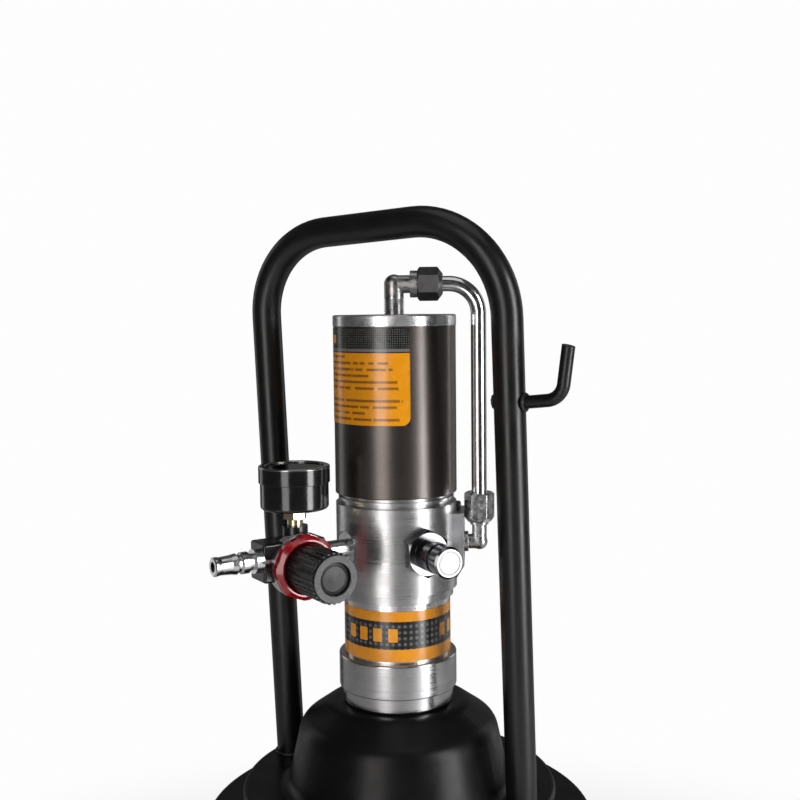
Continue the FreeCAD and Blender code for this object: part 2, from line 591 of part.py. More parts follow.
def make_head():
    """Cast head: turned casting with a milled side pad, three side ports and the spool bore."""
    top = "head_top - head_base"
    seat = "head_seat - head_base"
    casting = [
        cylinder("head_flange", "head_flange_radius", "head_flange_height"),
        cylinder("head_drum", "head_radius", f"{top} - head_flange_height",
                 ("0", "0", "head_flange_height")),
        cylinder("head_seat", "head_seat_radius", "head_seat - head_top", ("0", "0", top)),
        cylinder("head_seat_ring", "head_seat_radius + seat_ring_step", "seat_ring_width",
                 ("0", "0", f"{top} + seat_ring_base")),
        cylinder("head_spigot", "tube_bore - running", "spigot_height", ("0", "0", seat)),
    ]
    pad = box("head_pad", "pad_reach - pad_root", "pad_width", "pad_top - pad_base",
              ("pad_root", "-pad_width / 2", "pad_base - head_base"))
    pad_frame = common("head_pad_shape", pad, pad_rounding())
    pad_frame.Placement.Rotation = FreeCAD.Rotation(UP, dim("port_angle_air"))
    tools = [cylinder("head_rod_bore", "rod_radius + running", "2 * tool_length",
                      ("0", "0", "-tool_length")),
             side_bore("head_inlet_port", "port_angle_inlet", "pipe_radius", "inlet_port_depth - 1"),
             side_bore("head_inlet_flat", "port_angle_inlet", "spot_face_radius",
                       "head_radius - spot_face_depth"),
             side_bore("head_outlet_port", "port_angle_outlet", "outlet_barrel", "outlet_port_depth"),
             side_bore("head_air_port", "port_angle_air", "elbow_radius", "air_port_depth - 1"),
             side_bore("head_plug_hole", "port_angle_air", "plug_radius", "plug_base - plug_gap",
                       "plug_height - head_base"),
             cylinder("head_spool_bore", "spool_radius + running", "head_top - head_base - spool_roof",
                      ("spool_reach * cos(port_angle_air)", "spool_reach * sin(port_angle_air)", "0"))]
    groove = cut_from("head_seal_groove", cylinder("head_groove_out", "tool_length", "groove_width",
                                                   ("0", "0", f"{seat} + groove_base")),
                      [cylinder("head_groove_in", "tube_bore - groove_depth", "groove_width",
                                ("0", "0", f"{seat} + groove_base"))])
    head = keep("pump_head", cut_from("pump_head", joined("head_blank", casting + [pad_frame]),
                                      tools + [groove]))
    stand(head, "head_base")


def pad_rounding():
    """Half-round lower end of the side pad, seen from outside."""
    middle = "pad_base - head_base + pad_width / 2"
    lower = cylinder("head_pad_round", "pad_width / 2", "tool_length", ("0", "0", middle), SIDE)
    upper = box("head_pad_upper", "tool_length", "pad_width", "tool_length",
                ("0", "-pad_width / 2", middle))
    low = "pad_base - head_base"
    sweep = joined("head_pad_sweep", [
        cone("head_pad_cone", "pad_sweep_radius - pad_slope_depth", "pad_sweep_radius", "pad_slope",
             ("0", "0", low)),
        cylinder("head_pad_column", "pad_sweep_radius", "pad_top - pad_base",
                 ("0", "0", f"{low} + pad_slope"))])
    return common("head_pad_bounds", joined("head_pad_limit", [lower, upper]), sweep)


def side_bore(name, angle, radius, start, height="port_height - head_base"):
    """Radial bore that runs outward from a start distance."""
    turn = FreeCAD.Rotation(UP, dim(angle)) * SIDE
    return cylinder(name, radius, "tool_length", (f"({start}) * cos({angle})", f"({start}) * sin({angle})",
                                                  height), turn)


def make_seals():
    """The two O-rings in the grooves of the head spigot and of the cylinder cap."""
    rings = []
    for name, height in (("lower", "head_seat + groove_base + slack_gap"),
                         ("upper", "cap_base - cap_groove_end + slack_gap")):
        ring = cut_from(f"seal_{name}", cylinder(f"seal_{name}_outside", "tube_bore - running",
                                                 "groove_width - 2 * slack_gap"),
                        [cylinder(f"seal_{name}_inside", "tube_bore - groove_depth + slack_gap",
                                  "groove_width - 2 * slack_gap")])
        stand(ring, height)
        rings.append(ring)
    keep("cylinder_seals", joined("cylinder_seals", rings))


def make_cylinder():
    length = "cap_base - head_seat"
    tube = turned("cylinder_tube", [("tube_bore", "0"), ("tube_radius", "0"), ("tube_radius", length),
                                    ("tube_bore", length)], {1: 0.6})
    stand(tube, "head_seat")
    cap = turned("cylinder_cap", [("thread_radius", "-cap_spigot"), ("tube_bore - running", "-cap_spigot"),
                                  ("tube_bore - running", "-cap_groove_end"),
                                  ("tube_bore - groove_depth", "-cap_groove_end"),
                                  ("tube_bore - groove_depth", "groove_width - cap_groove_end"),
                                  ("tube_bore - running", "groove_width - cap_groove_end"),
                                  ("tube_bore - running", "0"), ("cap_radius", "0"),
                                  ("cap_radius", "cap_height"),
                                  ("thread_radius", "cap_height")], {8: 1.2})
    stand(cap, "cap_base")
    label = turned("cylinder_label", [("tube_radius", "0"), ("tube_radius + label_thickness", "0"),
                                      ("tube_radius + label_thickness", "label_height"),
                                      ("tube_radius", "label_height")], sweep="label_sweep")
    label.Placement.Rotation = FreeCAD.Rotation(UP, dim("label_end_angle") - dim("label_sweep"))
    stand(label, "label_base")


def make_piston():
    inner = "piston_radius - seal_depth"
    low = "(piston_thickness - seal_width) / 2"
    piston = turned("air_piston", [("rod_tip_radius", "0"), ("piston_radius", "0"), ("piston_radius", low),
                                   (inner, low), (inner, f"{low} + seal_width"),
                                   ("piston_radius", f"{low} + seal_width"),
                                   ("piston_radius", "piston_thickness"),
                                   ("rod_tip_radius", "piston_thickness")], {1: 1.0, 6: 1.0})
    stand(piston, "piston_base")
    seal = turned("piston_seal", [(inner, "slack_gap / 2"), ("tube_bore - running", "slack_gap / 2"),
                                  ("tube_bore - running", "seal_width - slack_gap / 2"),
                                  (inner, "seal_width - slack_gap / 2")],
                  {1: 1.0, 2: 1.0})
    stand(seal, f"piston_base + {low}")
    rod = turned("piston_rod", [("0", "-rod_length"), ("rod_tip_radius", "-rod_length"),
                                ("rod_tip_radius", "rod_tip_length - rod_length"),
                                ("rod_radius", "rod_tip_length - rod_length"), ("rod_radius", "0"),
                                ("rod_tip_radius", "0"), ("rod_tip_radius", "piston_thickness + 1"),
                                ("0", "piston_thickness + 1")])
    stand(rod, "piston_base")


def make_spool():
    land = "spool_length / 4"
    spool = turned("valve_spool", [("0", "0"), ("spool_radius", "0"), ("spool_radius", land),
                                   ("spool_radius - 2", land), ("spool_radius - 2", f"1.5 * {land}"),
                                   ("spool_radius", f"1.5 * {land}"), ("spool_radius", f"2.5 * {land}"),
                                   ("spool_radius - 2", f"2.5 * {land}"),
                                   ("spool_radius - 2", f"3 * {land}"),
                                   ("spool_radius", f"3 * {land}"), ("spool_radius", "spool_length"),
                                   ("0", "spool_length")])
    upright(spool, "port_angle_air", "spool_reach", "spool_base")


# --- air line ---------------------------------------------------------------------------------------------

def make_upper_elbow():
    """Threaded foot in the cap, round forged body with a ball corner, spigot into the nut."""
    level = "air_height - cap_base"
    body = "elbow_body / 2"
    visible = "cap_height + 0.5"
    top = f"{visible} + ridge_count * ridge_pitch"
    ridges = [cylinder(f"upper_ridge_{turn}", "thread_radius - 0.05", "ridge_pitch / 2",
                       ("0", "0",
                        f"{visible} + {turn} * ridge_pitch")) for turn in range(int(dim("ridge_count")))]
    thread = joined("upper_thread", [cylinder("upper_thread_core", "thread_radius - 0.8", level),
                                     cylinder("upper_thread_foot", "thread_radius - running",
                                              "cap_height")] + ridges)
    riser = cylinder("upper_riser", body, f"{level} - ({top})", ("0", "0", top))
    corner = primitive("Part::Sphere", "upper_corner", ("0", "0", level), None)
    bind(corner, Radius="elbow_body / 2 + 0.05")
    arm = cylinder("upper_arm", f"{body} - 0.5", "upper_nut_reach + 4", ("2", "0", level), SIDE)
    flange = cylinder("upper_flange", "flange_radius", "flange_length",
                      ("upper_nut_reach - flange_length - slack_gap", "0", level), SIDE)
    spigot = cylinder("upper_spigot", "fitting_radius", "spigot_length - 1",
                      ("upper_nut_reach - 2", "0", level), SIDE)
    bores = [cylinder("upper_bore_down", "elbow_bore", level, ("0", "0", "-1")),
             cylinder("upper_bore_side", "elbow_bore", "tool_length", ("-1", "0", level), SIDE)]
    elbow = keep("upper_elbow", cut_from("upper_elbow", joined("upper_blank",
                                                               [thread, riser, corner, arm, flange,
                                                                                spigot]), bores))
    upright(elbow, "port_angle_air", "0", "cap_base")


def make_nuts():
    """Tube nuts: the upper one is coned where the tube leaves it, the lower one at its foot."""
    tube = "air_radius + running"
    spigot = "fitting_radius + running"
    upper = hex_nut("upper_nut", "upper_nut_flats", "upper_nut_length",
                    [(spigot, "-nut_wall", "upper_nut_length"), (tube, "nut_wall", "2 * upper_nut_length")],
                    nose=("nut_nose_radius", "nut_nose_length"))
    radial(upper, "port_angle_air", "upper_nut_reach", "air_height", spin=30)
    lower = hex_nut("lower_nut", "lower_nut_flats", "lower_nut_length",
                    [(spigot, "-nut_wall", "lower_nut_length"), (tube, "nut_wall", "2 * lower_nut_length")],
                    foot=("nut_foot_radius", "nut_foot_length"))
    upright(lower, "port_angle_air", "air_reach", "lower_nut_base")


def make_air_tube():
    body = new_body("air_tube")
    path = new_sketch(body, "air_path")
    start, reach, bend = dim("upper_nut_reach") + 7, dim("air_reach"), dim("air_bend")
    level, low = dim("air_height"), dim("lower_nut_base") + 8
    path.addGeometry(Part.LineSegment(V(start, level, 0), V(reach - bend, level, 0)), False)
    path.addGeometry(Part.ArcOfCircle(Part.Circle(V(reach - bend, level - bend, 0), UP, bend), 0,
                                      math.pi / 2), False)
    path.addGeometry(Part.LineSegment(V(reach, level - bend, 0), V(reach, low, 0)), False)
    path.addConstraint(Sketcher.Constraint("Tangent", 0, 2, 1, 2))
    path.addConstraint(Sketcher.Constraint("Tangent", 1, 1, 2, 1))
    path.addConstraint(Sketcher.Constraint("Horizontal", 0))
    path.addConstraint(Sketcher.Constraint("Vertical", 2))
    locate(path, 0, 1, "upper_nut_reach + 7.1", "air_height")
    locate(path, 2, 2, "air_reach", "lower_nut_base + 8")
    index = path.addConstraint(Sketcher.Constraint("Radius", 1, bend))
    path.setExpression(f"Constraints[{index}]", formula("air_bend"))
    section = new_sketch(body, "air_section", "YZ_Plane", "upper_nut_reach + 7.1")
    draw_circle(section, "air_radius", "0", "air_height")
    draw_circle(section, "air_bore", "0", "air_height")
    doc.recompute()
    tube = body.newObject("PartDesign::AdditivePipe", "air_pipe")
    tube.Profile = section
    tube.Spine = (path, ["Edge1", "Edge2", "Edge3"])
    body.Placement.Rotation = FreeCAD.Rotation(UP, dim("port_angle_air"))


def make_lower_elbow():
    """Elbow from the lower nut into the side pad, with a collar under the nut and another at the pad."""
    rise = "lower_nut_base - port_height"
    run = cylinder("lower_run", "elbow_radius", rise, ("air_reach", "0", "0"))
    corner = primitive("Part::Sphere", "lower_corner", ("air_reach", "0", "0"), None)
    bind(corner, Radius="elbow_radius + 0.5")
    spigot = cylinder("lower_spigot", "fitting_radius", "spigot_length", ("air_reach", "0", f"{rise} - 2"))
    level_run = cylinder("lower_level", "elbow_radius", "air_reach - air_port_depth",
                         ("air_port_depth", "0", "0"), SIDE)
    collar = cylinder("lower_collar", "elbow_radius + collar_step", "collar_length",
                      ("pad_reach + running", "0", "0"), SIDE)
    bores = [cylinder("lower_bore_up", "elbow_bore", "tool_length", ("air_reach", "0", "0")),
             cylinder("lower_bore_in", "elbow_bore", "air_reach", ("0", "0", "0"), SIDE)]
    elbow = keep("lower_elbow", cut_from("lower_elbow", joined("lower_blank",
                                                               [run, corner, spigot, level_run,
                                                                                collar]), bores))
    upright(elbow, "port_angle_air", "0", "port_height")


def make_small_plugs():
    plug = turned("exhaust_plug", [("0", "0"), ("plug_radius", "0"), ("plug_radius", "plug_length"),
                                   ("0", "plug_length")], {2: 1.5})
    radial(plug, "port_angle_air", "plug_base", "plug_height")


# --- outlet -----------------------------------------------------------------------------------------------

def make_outlet():
    barrel = turned_fitting()
    blank = hexagon("outlet_hexagon", "outlet_flats", "outlet_hex_length", ("0", "0", "0"))
    shaped = common("outlet_hex_shaped", blank, turned_tool("outlet_hex_round", "outlet_flats",
                                                            "outlet_hex_length"))
    bore = cylinder("outlet_bore_tool", "outlet_bore", "2 * tool_length", ("0", "0", "-tool_length"))
    fitting = keep("outlet_fitting", cut_from("outlet_fitting", joined("outlet_blank", [shaped] + barrel),
                                              [bore]))
    radial(fitting, "port_angle_outlet", "outlet_hex_reach", "port_height", spin=30)
    cap = turned("outlet_cap", [("0", "0"), ("outlet_bore", "0"), ("outlet_bore", "outlet_cap_length"),
                                ("0", "outlet_cap_length")],
                 {2: 0.8})
    radial(cap, "port_angle_outlet", "outlet_end - outlet_cap_length", "port_height")


def turned_fitting():
    """Round portions of the outlet fitting: thread in the head, barrel, relief groove and end collar."""
    length = "outlet_end - outlet_hex_reach"
    return [cylinder("outlet_thread", "outlet_barrel", "outlet_thread_length",
                     ("0", "0", "-outlet_thread_length")),
            cylinder("outlet_barrel_a", "outlet_barrel", f"{length} - relief_reach", ("0", "0", "0")),
            cylinder("outlet_relief", "outlet_barrel - relief_depth",
                     "relief_reach - end_collar + relief_depth",
                     ("0", "0", f"{length} - relief_reach - relief_depth")),
            cylinder("outlet_barrel_b", "outlet_barrel", "end_collar - lip_chamfer",
                     ("0", "0", f"{length} - end_collar")),
            cone("outlet_lip", "outlet_barrel", "outlet_barrel - lip_chamfer", "lip_chamfer",
                 ("0", "0", f"{length} - lip_chamfer"))]


# --- inlet, regulator -------------------------------------------------------------------------------------

def at_regulator(item, angle_offset=90, forward="0"):
    """Points a piece's own Z along the knob axis, at a distance forward of the regulator's centre."""
    facing = math.radians(dim("port_angle_inlet") + angle_offset)
    outward = V(math.cos(facing), math.sin(facing), 0)
    item.Placement.Rotation = FreeCAD.Rotation(V(-outward.y, outward.x, 0), UP, outward, "ZXY")
    knob = "(port_angle_inlet + 90)"
    bind(item,
         Placement__Base__x=f"regulator_reach * cos(port_angle_inlet) + ({forward}) * cos({knob})",
         Placement__Base__y=f"regulator_reach * sin(port_angle_inlet) + ({forward}) * sin({knob})",
         Placement__Base__z="port_height - bonnet_drop")


def make_inlet_pipe():
    length = "regulator_reach - block_inner + pipe_insert - inlet_port_depth"
    pipe = turned("inlet_pipe", [("pipe_bore", "0"), ("pipe_radius", "0"), ("pipe_radius", length),
                                 ("pipe_bore", length)], {1: 0.6, 2: 0.6})
    radial(pipe, "port_angle_inlet", "inlet_port_depth", "port_height")


def make_regulator_body():
    """Square block, its own Z along the knob axis and its own X towards the head, cleared for the ring."""
    middle = "bonnet_drop"
    up = FreeCAD.Rotation(V(1, 0, 0), -90)
    eased = doc.addObject("Part::Fillet", "regulator_block_round")
    eased.Base = box("regulator_block", "block_outer + block_inner", "block_top + block_bottom",
                     "block_front + block_back", ("-block_outer", f"{middle} - block_bottom",
                                                  "-block_back"))
    doc.recompute()
    eased.Edges = [(number, 1.6, 1.6) for number in range(1, 13)]
    boss = cylinder("regulator_gauge_boss", "boss_radius", "block_top + boss_height",
                    ("0", middle, "gauge_offset"), up)
    room = cylinder("regulator_ring_room", "trim_radius + running", "tool_length",
                    ("0", "0", "trim_back - running"))
    cleared = cut_from("regulator_cleared", joined("regulator_square", [eased, boss]), [room])
    bosses = [cylinder("regulator_rear", "rear_radius", "rear_length",
                       ("0", "0", "-block_back - rear_length")),
              cylinder("regulator_front", "trim_bore - slack_gap",
                       "block_front + 2 * bonnet_step - trim_back", ("0", "0", "trim_back - bonnet_step"))]
    tools = [cylinder("regulator_cavity", "cavity_radius", "block_front + cavity_depth",
                      ("0", "0", "bonnet_step - cavity_depth")),
             cylinder("regulator_gauge_port", "stem_radius + running", "tool_length",
                      ("0", f"{middle} + block_top", "gauge_offset"), up),
             cylinder("regulator_inlet", "pipe_radius + running", "tool_length",
                      ("-tool_length / 2", middle, "0"),
                      SIDE)]
    body = keep("regulator_body", cut_from("regulator_body", joined("regulator_blank", [cleared] + bosses),
                                           tools))
    at_regulator(body)


def make_bonnet():
    front = "block_front + bonnet_step"
    bonnet = turned("regulator_bonnet", [("screw_radius + running", "bonnet_end - bonnet_wall"),
                                         ("knob_bore", "bonnet_end - bonnet_wall"), ("knob_bore", front),
                                         ("bonnet_radius", front),
                                         ("bonnet_radius", "bonnet_end"),
                                         ("screw_radius + running", "bonnet_end")], {4: 0.8})
    at_regulator(bonnet)


def make_bonnet_ring():
    """Bright ring around the front of the block, with two turned lines."""
    ring = cut_from("trim_blank", cylinder("trim_outside", "trim_radius", "trim_front - trim_back",
                                           ("0", "0", "trim_back")),
                    [cylinder("trim_inside", "trim_bore", "tool_length", ("0", "0", "-tool_length / 2"))])
    lines = [cut_from(f"trim_line_{number}", cylinder(f"trim_line_out_{number}", "tool_length", "trim_line",
                                                      ("0", "0", start)),
                                                      [cylinder(f"trim_line_in_{number}",
                                                                "trim_radius - trim_line", "trim_line",
                                                                ("0", "0", start))]) for number,
                                                                start in enumerate(("trim_front / 3",
                                                                                    "trim_front * 2 / 3"))]
    passage = cylinder("trim_pipe_passage", "pipe_radius + running", "2 * block_outer",
                       ("-block_outer", "bonnet_drop", "0"), SIDE)
    at_regulator(keep("bonnet_ring", cut_from("bonnet_ring", ring, lines + [passage])))


def make_ring_nut():
    """Eight-sided ring nut around the bonnet, coned towards the knob."""
    blank = hexagon("ring_nut_prism", "2 * ring_nut_radius - 0.6", "ring_nut_depth", sides=8)
    limit = joined("ring_nut_limit", [
        cylinder("ring_nut_root", "ring_nut_radius + 0.6", "ring_nut_depth * 0.55"),
        cone("ring_nut_front", "ring_nut_radius + 0.6", "ring_nut_radius - 2.4", "ring_nut_depth * 0.45",
             ("0", "0", "ring_nut_depth * 0.55"))])
    bore = cylinder("ring_nut_bore", "bonnet_radius + slack_gap", "tool_length",
                    ("0", "0", "-tool_length / 2"))
    recess = cone("ring_nut_recess", "bonnet_radius + slack_gap", "ring_nut_radius - ring_nut_lip",
                  "ring_nut_recess", ("0", "0", "ring_nut_depth - ring_nut_recess"))
    nut = keep("ring_nut", cut_from("ring_nut", common("ring_nut_shaped", blank, limit), [bore, recess]))
    at_regulator(nut, forward="block_front + 2.05")


def make_knob():
    """Ribbed knob with a recessed end; its own zero is the regulator's centre."""
    recess = "knob_end - recess_depth"
    body = turned("adjusting_knob", [("screw_radius", "knob_end - 2 * recess_depth"),
                                     ("screw_radius", recess),
                                     ("recess_radius", recess), ("recess_radius", "knob_end"),
                                     ("knob_tip_radius - knob_chamfer", "knob_end"),
                                     ("knob_tip_radius", "knob_end - 2 * knob_chamfer"),
                                     ("knob_root_radius", "knob_start"), ("knob_bore", "knob_start"),
                                     ("knob_bore", "knob_end - 2 * recess_depth")])
    rib = new_sketch(body, "knob_rib_outline", "XY_Plane", "knob_start + rib_margin")
    draw_circle(rib, "rib_radius", "knob_tip_radius")
    doc.recompute()
    pad = body.newObject("PartDesign::Pad", "knob_rib")
    pad.Profile = rib
    bind(pad, Length="knob_end - knob_start - 2 * rib_margin")
    doc.recompute()
    repeat(body, pad, int(dim("knob_ribs")))
    at_regulator(body)
    ring = turned("knob_end_ring", [("end_ring_bore", "0"), ("end_ring_radius", "0"),
                                    ("end_ring_radius", "end_ring_height"),
                                    ("end_ring_bore", "end_ring_height")],
                  {2: 0.3, 3: 0.3})
    at_regulator(ring, forward="knob_end")
    face = "recess_radius - slack_gap"
    lip = "recess_radius - slack_gap - cap_lip_width"
    cap = turned("knob_centre_cap", [("0", "0"), (face, "0"), (face, "cap_depth"),
                                     (lip, "cap_depth + cap_lip"),
                                     (f"{lip} - cap_lip", "cap_depth"), ("0", "cap_depth + cap_lip / 2")])
    at_regulator(cap, forward="knob_end - recess_depth + slack_gap")
    screw = turned("adjusting_screw", [("0", "0"), ("screw_radius", "0"), ("screw_radius", "screw_length"),
                                       ("0", "screw_length")])
    at_regulator(screw, forward="recess_depth / 2 - slack_gap")


def make_nipple():
    """Quick-connect nipple screwed into the regulator's inlet."""
    tip = "nipple_length"
    groove = "nipple_groove_start"
    profile = [("nipple_bore", "-nipple_thread"), ("pipe_radius", "-nipple_thread"), ("pipe_radius", "0"),
               ("nipple_flange_radius", "0"), ("nipple_flange_radius", "nipple_flange"),
               ("nipple_neck_radius", "nipple_flange"), ("nipple_neck_radius", "nipple_neck_end"),
               ("nipple_body_radius", "nipple_neck_end + 0.8"), ("nipple_body_radius", f"{groove} - 1"),
               ("nipple_groove_radius", groove), ("nipple_groove_radius", f"{groove} + 1.5"),
               ("nipple_body_radius - 0.2", f"{groove} + 2.5"),
               ("nipple_body_radius - 0.8", f"{groove} + 6"),
               ("nipple_groove_radius + 0.1", f"{tip} - 4.5"), ("nipple_tip_radius", f"{tip} - 1.8"),
               ("nipple_tip_radius", f"{tip} - 0.6"), ("nipple_tip_radius - 0.8", tip),
               ("nipple_bore", tip)]
    nipple = turned("air_nipple", profile)
    radial(nipple, "port_angle_inlet", "regulator_reach + block_outer", "port_height")


# --- gauge ------------------------------------------------------------------------------------------------

def over_regulator(item, height):
    """Stands a piece of the gauge over the regulator's gauge port."""
    knob = "(port_angle_inlet + 90)"
    bind(item, Placement__Base__x=f"regulator_reach * cos(port_angle_inlet) + gauge_offset * cos({knob})",
         Placement__Base__y=f"regulator_reach * sin(port_angle_inlet) + gauge_offset * sin({knob})",
         Placement__Base__z=height)


def make_gauge():
    depth = "gauge_top - gauge_base"
    case = turned("gauge_case", [("stem_radius", "0"), ("gauge_radius", "0"),
                                 ("gauge_radius", f"{depth} - case_recess"),
                                 ("gauge_radius - case_wall", f"{depth} - case_recess"),
                                 ("gauge_radius - case_wall", "case_floor"), ("stem_radius", "case_floor")],
                                 {1: 2.2})
    over_regulator(case, "gauge_base")
    rim = "gauge_top - bezel_base"
    bezel = turned("gauge_bezel", [("gauge_radius + running", "0"), ("bezel_radius", "0"),
                                   ("bezel_radius", rim),
                                   ("bezel_bore + 0.6", rim), ("bezel_bore", f"{rim} - bezel_lip / 2"),
                                   ("bezel_bore", f"{rim} - bezel_lip"),
                                   ("gauge_radius + running", f"{rim} - bezel_lip")], {1: 0.4, 2: 0.8})
    over_regulator(bezel, "bezel_base")
    lens = turned("gauge_lens", [("0", "0"), ("gauge_radius - 0.1", "0"),
                                 ("gauge_radius - 0.1", "lens_thickness"),
                                 ("0", "lens_thickness")])
    over_regulator(lens, "gauge_top - bezel_lip - lens_thickness - 0.1")
    dial = turned("gauge_dial", [("pointer_shaft_radius + running", "0"),
                                 ("gauge_radius - dial_margin", "0"),
                                 ("gauge_radius - dial_margin", "dial_thickness"),
                                 ("pointer_shaft_radius + running", "dial_thickness")])
    over_regulator(dial, "gauge_top - dial_depth")
    shaft = cylinder("pointer_shaft", "pointer_shaft_radius", "pointer_shaft_length",
                     ("0", "0", "2 - pointer_shaft_length"))
    hub = cylinder("pointer_hub", "2 * pointer_width", "pointer_width", ("0", "0", "pointer_width / 2"))
    needle = box("pointer_needle", "pointer_length + pointer_tail", "pointer_width", "needle_thickness",
                 ("-pointer_tail", "-pointer_width / 2", "needle_lift"))
    pointer = keep("gauge_pointer", joined("gauge_pointer", [shaft, hub, needle]))
    over_regulator(pointer, "gauge_top - dial_depth + dial_thickness")
    pointer.Placement.Rotation = FreeCAD.Rotation(UP, dim("port_angle_inlet") + 90 - 135)
    stem_hex = hexagon("stem_hexagon", "stem_flats", "gauge_base - stem_base")
    stem_shaped = common("stem_shaped", stem_hex, turned_tool("stem_round", "stem_flats",
                                                              "gauge_base - stem_base"))
    stem_length = "stem_thread_length + case_floor + gauge_base - stem_base"
    thread = cylinder("stem_thread", "stem_radius", stem_length, ("0", "0", "-stem_thread_length"))
    stem = joined("stem_blank", [stem_shaped, thread])
    finished = keep("gauge_stem", cut_from("gauge_stem", stem,
                                           [cylinder("stem_bore", "stem_bore_radius", "tool_length",
                                                     ("0", "0", "-tool_length / 2"))]))
    over_regulator(finished, "stem_base")


# --- pump tube in the drum --------------------------------------------------------------------------------

def make_suction():
    length = "neck_base - suction_base"
    tube = turned("suction_tube", [("suction_bore", "0"), ("suction_radius", "0"),
                                   ("suction_radius", length),
                                   ("suction_bore", length)])
    stand(tube, "suction_base")
    nut = keep("clamp_ring_nut", cut_from("clamp_ring_nut", hexagon("ring_lock_prism", "lock_flats",
                                                                    "lock_height"),
                                          [cylinder("ring_lock_bore", "suction_radius + running",
                                                    "tool_length", ("0", "0", "-tool_length / 2"))]))
    stand(nut, "dome_top - cover_wall - lock_height - slack_gap")


def make_foot_valve():
    """Foot valve closes the lower end of the pump tube; the ball lifts from its cone."""
    foot = turned("foot_valve", [("foot_bore", "0"), ("suction_radius + foot_step", "0"),
                                 ("suction_radius + foot_step", "suction_base - foot_base"),
                                 ("suction_bore - running", "suction_base - foot_base"),
                                 ("suction_bore - running", "foot_height"),
                                 ("foot_cage_radius", "foot_height"), ("foot_cage_radius", "foot_seat_top"),
                                 ("foot_bore", "foot_seat_base")],
                                 {1: 1.0})
    stand(foot, "foot_base")
    ball = primitive("Part::Sphere", "foot_ball", ("0", "0", "foot_base + foot_ball_lift"), None)
    bind(ball, Radius="foot_ball_radius")
    keep("foot_ball", ball)
    strainer = turned("strainer", [("0", "0"), ("suction_radius + strainer_wall / 2", "0"),
                                   ("suction_radius + strainer_wall / 2", "strainer_height"),
                                   ("suction_radius - strainer_wall / 2", "strainer_height"),
                                   ("suction_radius - strainer_wall / 2", "strainer_wall"),
                                   ("0", "strainer_wall")],
                                   {1: 1.5})
    slot = new_sketch(strainer, "strainer_slot", "XY_Plane", "-1")
    draw_circle(slot, "strainer_hole", "strainer_ring")
    doc.recompute()
    holes = strainer.newObject("PartDesign::Pocket", "strainer_hole")
    holes.Profile = slot
    holes.Reversed = True
    holes.Length = 6
    doc.recompute()
    repeat(strainer, holes, 10)
    stand(strainer, "foot_base - strainer_height - slack_gap")


def make_plunger():
    """Plunger on the rod's lower end, hollow below for its own ball valve."""
    top = "plunger_length"
    plunger = turned("plunger", [("plunger_inlet", "0"), ("plunger_radius", "0"), ("plunger_radius", top),
                                 ("rod_tip_radius", top),
                                 ("rod_tip_radius", f"{top} - rod_tip_length"),
                                 ("plunger_cage_radius", f"{top} - rod_tip_length - plunger_inlet / 2"),
                                 ("plunger_cage_radius", "plunger_seat_top"),
                                 ("plunger_inlet", "plunger_seat_base")], {1: 1.0, 2: 1.0})
    stand(plunger, "piston_base - rod_length + rod_tip_length - plunger_length")
    ball = primitive("Part::Sphere", "plunger_ball",
                     ("0", "0",
                      "piston_base - rod_length + rod_tip_length - plunger_length + plunger_ball_lift"),
                      None)
    bind(ball, Radius="plunger_ball_radius")
    keep("plunger_ball", ball)


def make_follower():
    """Plate that rides down on the contents, with a rubber wiper against the drum wall."""
    plate = turned("follower_plate", [("suction_radius + slack_gap", "0"), ("follower_radius", "0"),
                                      ("follower_radius", "follower_thickness"),
                                      ("suction_radius + follower_sleeve", "follower_thickness"),
                                      ("suction_radius + follower_sleeve", "follower_height"),
                                      ("suction_radius + slack_gap", "follower_height")], {3: 2.0, 4: 1.5})
    stand(plate, "follower_base")
    wiper = turned("follower_wiper", [("follower_radius", "-wiper_drop"),
                                      ("follower_radius + wiper_width", "-wiper_drop"),
                                      ("follower_radius + wiper_width", "wiper_thickness - wiper_drop"),
                                      ("follower_radius", "wiper_thickness - wiper_drop")],
                                      {1: 1.5, 2: 1.5})
    stand(wiper, "follower_base")


# --- everything -------------------------------------------------------------------------------------------

make_drum()
make_gasket()
make_cover()
clamp_group("clamp_ears", clamp_ears)
clamp_group("clamp_pins", clamp_pin)
clamp_group("cover_claws", clamp_claw)
each_clamp("swing_bolt", swing_bolt)
each_clamp("wing_nut", wing_nut)
make_handle()
make_hook()
make_collar()
make_neck()
make_head()
make_seals()
make_cylinder()
make_piston()
make_spool()
make_upper_elbow()
make_nuts()
make_air_tube()
make_lower_elbow()
make_small_plugs()
make_outlet()
make_inlet_pipe()
make_regulator_body()
make_bonnet()
make_bonnet_ring()
make_ring_nut()
make_knob()
make_nipple()
make_gauge()
make_suction()
make_foot_valve()
make_plunger()
make_follower()

doc.recompute()
failed = [item.Name for item in doc.Objects if "Invalid" in item.State or "Error" in item.State]
if failed:
    raise SystemExit(f"objects that did not recompute: {failed}")
for label, item in NODES.items():
    if item.Shape.isNull() or not item.Shape.isValid():
        raise SystemExit(f"{label} has no valid shape")

os.makedirs("parts", exist_ok=True)
for label, item in NODES.items():
    item.Shape.exportStep(f"parts/{label}.step")
print(f"{len(NODES)} sub-parts written")
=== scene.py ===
"""Looks of the air-operated drum pump: materials, small details, light and camera round the CAD frame.

Metres, in the row frame: +Z is the axis of drum, pump and cylinder; the loop handle stands in the XZ plane.
"""
import json
import math

import bpy
from mathutils import Matrix, Vector


